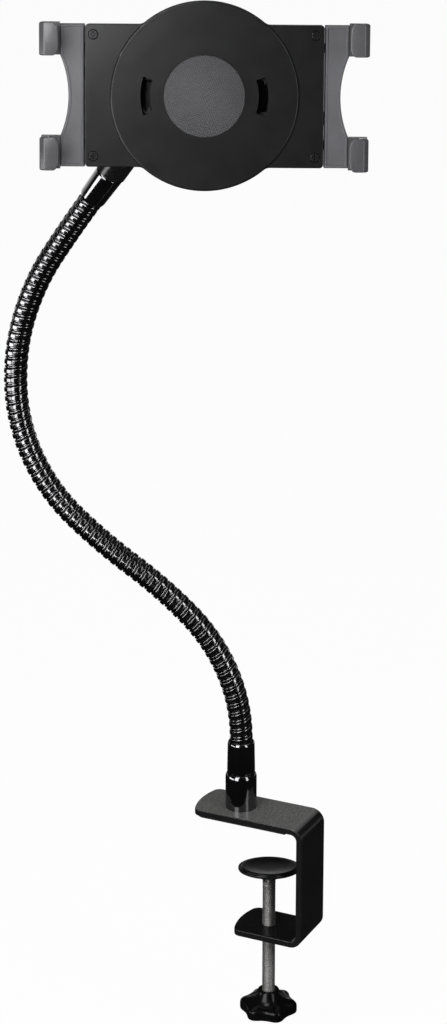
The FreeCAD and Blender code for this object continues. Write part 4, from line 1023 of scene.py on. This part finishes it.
@dataclass
class SlidingArms(Assembly):
    """The two sliding arms with their panels, claws and springs; coil and eye are given as for tube."""

    outer: float = -88.4
    lip_x: float = -78.0
    wall_x: float = -83.6
    low: float = 21.7
    high: float = 39.4
    front: float = -14.5
    lip: float = 3.3
    bevel: float = 2.5
    panel_front: float = 3.0
    back: float = 5.0
    corner: Corner = (3.2, 5.6)
    edge: float = 0.8
    end_edge: float = 1.0
    spring_y: float = 9.5
    spring_z: float = 19.5
    spring_end: float = 22.0
    coil: tuple[float, float, float, int] = (1.9, 0.45, 1.0, 22)
    eye: tuple[float, float, float, int] = (1.75, 0.45, 0.0, 1)
    eye_x: float = 24.2

    def claw(self) -> Form:
        """The left arm's upper claw: a channel whose lip has rounded corners and a ridge outside.

        Returns:
            The form, in the holder's frame.
        """
        squeeze = self.corner[0] / self.corner[1]
        lip_back = self.front + self.lip
        section = [
            (self.outer, self.back), (self.outer, self.front + self.bevel),
            (self.outer + self.bevel, self.front), (self.lip_x, self.front), (self.lip_x, lip_back),
            (self.wall_x, lip_back), (self.wall_x, self.panel_front), (self.lip_x, self.panel_front),
            (self.lip_x, self.back),
        ]
        claw = Form().slab([(x, -y) for x, y in section], self.low * squeeze, self.high * squeeze)
        claw.move(Matrix.Rotation(math.pi / 2, 4, "X"))
        lip_middle = self.front + self.lip / 2
        claw.soften(
            self.corner[0], 8,
            lambda at: abs(at.x - self.lip_x) < NEAR_MM and abs(at.y - lip_middle) < NEAR_MM,
        )
        claw.move(Matrix.Diagonal((1, 1, 1 / squeeze, 1)))
        ends = (self.low, self.high)
        near = self.outer + self.bevel
        claw.soften(
            self.end_edge, 3, lambda at: at.x < near and min(abs(at.z - end) for end in ends) < NEAR_MM
        )
        return claw.soften(self.edge, 4, lambda at: at.y < self.panel_front)

    def claws(self) -> None:
        """Builds the four claws."""
        place = holder_place()
        flip = Matrix.Diagonal((1, 1, -1, 1))
        turned = Matrix.Rotation(math.pi, 4, "Y")
        for side, up, move in (
            ("left", "upper", Matrix.Identity(4)), ("left", "lower", flip),
            ("right", "lower", turned), ("right", "upper", turned @ flip),
        ):
            form = self.claw().move(place @ move)
            bmesh.ops.recalc_face_normals(form.bm, faces=form.bm.faces)
            name, node = f"{side}_{up}_claw_rubber", f"{side}_{up}_claw_pad"
            self.add(form, name, CLAW_RUBBER, f"{side}_side", [node], 32)

    def springs(self) -> None:
        """Builds the return springs in halves, each of which reaches from the middle toward its arm."""
        place = holder_place()
        stand = Matrix.Translation((0, 0, self.eye_x * MM)) @ Matrix.Rotation(math.pi / 2, 4, "X")
        for name, height in (("upper", self.spring_z), ("lower", -self.spring_z)):
            seat = Vector((0, self.spring_y, height)) * MM
            for side, sign in (("left", -1), ("right", 1)):
                lay = Matrix.Translation(seat) @ Matrix.Rotation(sign * math.pi / 2, 4, "Y")
                form = Form().tube(*self.coil).join(Form().tube(*self.eye).move(stand)).move(place @ lay)
                nodes = [f"{name}_return_spring"] if side == "left" else []
                piece = self.add(form, f"{name}_{side}_spring", BRIGHT_STEEL, None, nodes, 32)
                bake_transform(piece)

    def build(self) -> None:
        """Builds the arms, panels, claws and springs."""
        for side in ("left", "right"):
            self.refine(f"{side}_arm", f"{side}_arm_frame", ARM_PLASTIC, f"{side}_side", 0.45)
            self.refine(f"{side}_arm_panel", f"{side}_panel", PANEL_PLASTIC, f"{side}_side", 0.2, 2, 25)
        self.claws()
        self.springs()


@dataclass(frozen=True)
class Softbox:
    """A rectangular studio lamp, aimed at a point."""

    name: str
    place: Triple
    width: float
    height: float
    power: float
    aim: Triple

    def build(self) -> None:
        """Hangs the lamp."""
        lamp = bpy.data.lights.new(self.name, "AREA")
        lamp.shape = "RECTANGLE"
        lamp.size = self.width
        lamp.size_y = self.height
        lamp.energy = self.power
        stand = bpy.data.objects.new(self.name, lamp)
        stand.visible_camera = False
        stand.location = self.place
        stand.rotation_euler = (Vector(self.aim) - Vector(self.place)).to_track_quat("-Z", "Y").to_euler()
        bpy.context.scene.collection.objects.link(stand)


@dataclass
class Studio:
    """The pale floor, the soft lamps, the white surround and the camera."""

    floor: float = -0.1625
    reach: float = 6.0
    floor_grey: float = 0.8
    floor_backdrop: Span = (1.5, 2.3)
    backdrop: Span = (0.3, 0.8)
    horizon: Span = (0.02, 0.1)
    lens: float = 105.47
    sensor: float = 36.0
    farthest: float = 50.0
    camera: Triple = (-0.0107, -1.6589, 0.8)
    pitch: float = 20.0
    ambient: float = 0.35
    dim: float = 0.015
    glow: float = 0.955
    lamps: tuple[Softbox, ...] = (
        Softbox("left_softbox", (-0.78, -1.2, 0.76), 0.66, 1.68, 19, (-0.02, 0.0, 0.7)),
        Softbox("right_softbox", (1.0, -1.0, 0.76), 0.38, 1.68, 8.0, (-0.02, 0.0, 0.7)),
        Softbox("top_softbox", (0.1, 0.4, 2.2), 2.4, 2.0, 9, (-0.03, 0.0, 0.2)),
        Softbox("low_softbox", (-1.2, -0.37, 0.1), 0.9, 0.26, 3.9, (-0.06, 0.0, 0.38)),
        Softbox("holder_softbox", (-0.15, -0.42, 0.6), 0.09, 0.09, 0.36, (-0.02, -0.06, 0.457)),
    )

    def gloss_sees(self, graph: Graph, far: Value) -> tuple[Value, Value]:
        """The surround as gloss and glass see it: the white backdrop far behind, and dim elsewhere.

        Args:
            graph: The graph of the floor or the world.
            far: 1 on the backdrop and 0 elsewhere.

        Returns:
            1 for rays from gloss or through glass, and the colour they see.
        """
        gloss = graph.add("ShaderNodeLightPath", output="Is Glossy Ray")
        glass = graph.add("ShaderNodeLightPath", output="Is Transmission Ray")
        return gloss.maths("MAXIMUM", glass), graph.mix(far, (self.dim,) * 3, (1.0,) * 3)

    def surround(self) -> None:
        """Sets the world: white to the camera, even and low to the object's surfaces."""
        world = bpy.data.worlds.new("studio")
        bpy.context.scene.world = world
        graph = Graph(world)
        direction = graph.add("ShaderNodeTexCoord", output="Generated")
        low = 1 - graph.along(direction, "Z").smooth(*self.horizon)
        ray, seen = self.gloss_sees(graph, graph.along(direction, "Y").smooth(*self.backdrop) * low)
        camera = graph.add("ShaderNodeLightPath", output="Is Camera Ray")
        colour = graph.mix(camera, graph.mix(ray, (self.ambient,) * 3, seen), (1.0,) * 3)
        air = graph.add("ShaderNodeBackground", None, {"Color": colour, "Strength": 1.0})
        graph.add("ShaderNodeOutputWorld", None, {"Surface": air})

    def ground(self) -> None:
        """Lays the floor: nearly white to the camera, with the object's shadow kept."""
        form = Form()
        bmesh.ops.create_grid(form.bm, x_segments=1, y_segments=1, size=self.reach)
        form.move(Matrix.Translation((0, 0, self.floor)))
        mesh = bpy.data.meshes.new("floor")
        form.bm.to_mesh(mesh)
        form.bm.free()
        paint = bpy.data.materials.new("pale_floor")
        graph = Graph(paint)
        ray, seen = self.gloss_sees(graph, graph.along(graph.place(), "Y").smooth(*self.floor_backdrop))
        plain = graph.add("ShaderNodeBsdfDiffuse", None, {"Color": (*(self.floor_grey,) * 3, 1.0)})
        mirrored = graph.add("ShaderNodeEmission", None, {"Color": seen, "Strength": 1.0})
        white = graph.add("ShaderNodeEmission", None, {"Color": (1.0, 1.0, 1.0, 1.0), "Strength": 1.0})
        camera = graph.add("ShaderNodeLightPath", output="Is Camera Ray")
        lit = graph.add("ShaderNodeMixShader", None, {0: ray, 1: plain, 2: mirrored})
        surface = graph.add("ShaderNodeMixShader", None, {0: camera * self.glow, 1: lit, 2: white})
        graph.add("ShaderNodeOutputMaterial", None, {"Surface": surface})
        mesh.materials.append(paint)
        floor = bpy.data.objects.new("floor", mesh)
        bpy.context.scene.collection.objects.link(floor)

    def eye(self) -> None:
        """Sets the camera where the photograph was taken from."""
        camera = bpy.data.cameras.new("camera")
        camera.lens = self.lens
        camera.sensor_width = self.sensor
        camera.clip_end = self.farthest
        tripod = bpy.data.objects.new("camera", camera)
        tripod.location = self.camera
        tripod.rotation_euler = (math.radians(90 - self.pitch), 0, 0)
        bpy.context.scene.collection.objects.link(tripod)
        bpy.context.scene.camera = tripod

    def build(self) -> None:
        """Sets the stage round the object."""
        self.surround()
        self.ground()
        for lamp in self.lamps:
            lamp.build()
        self.eye()
        bpy.context.scene.view_settings.view_transform = "Standard"


def main() -> None:
    """Builds the object and the studio round it."""
    logging.basicConfig(level=logging.INFO, format="%(message)s")
    neck, collars = Gooseneck(), Collars()
    neck.build()
    collars.build(neck.line)
    others = (DeskClamp(), ScrewAndKnob(), SwivelFoot(), Knuckle(), HolderBody(), SlidingArms())
    for assembly in others:
        assembly.build()
    Studio().build()
    for assembly in (neck, collars, *others):
        log.info("%s: %d pieces", type(assembly).__name__, len(assembly.made))


if __name__ == "__main__":
    main()
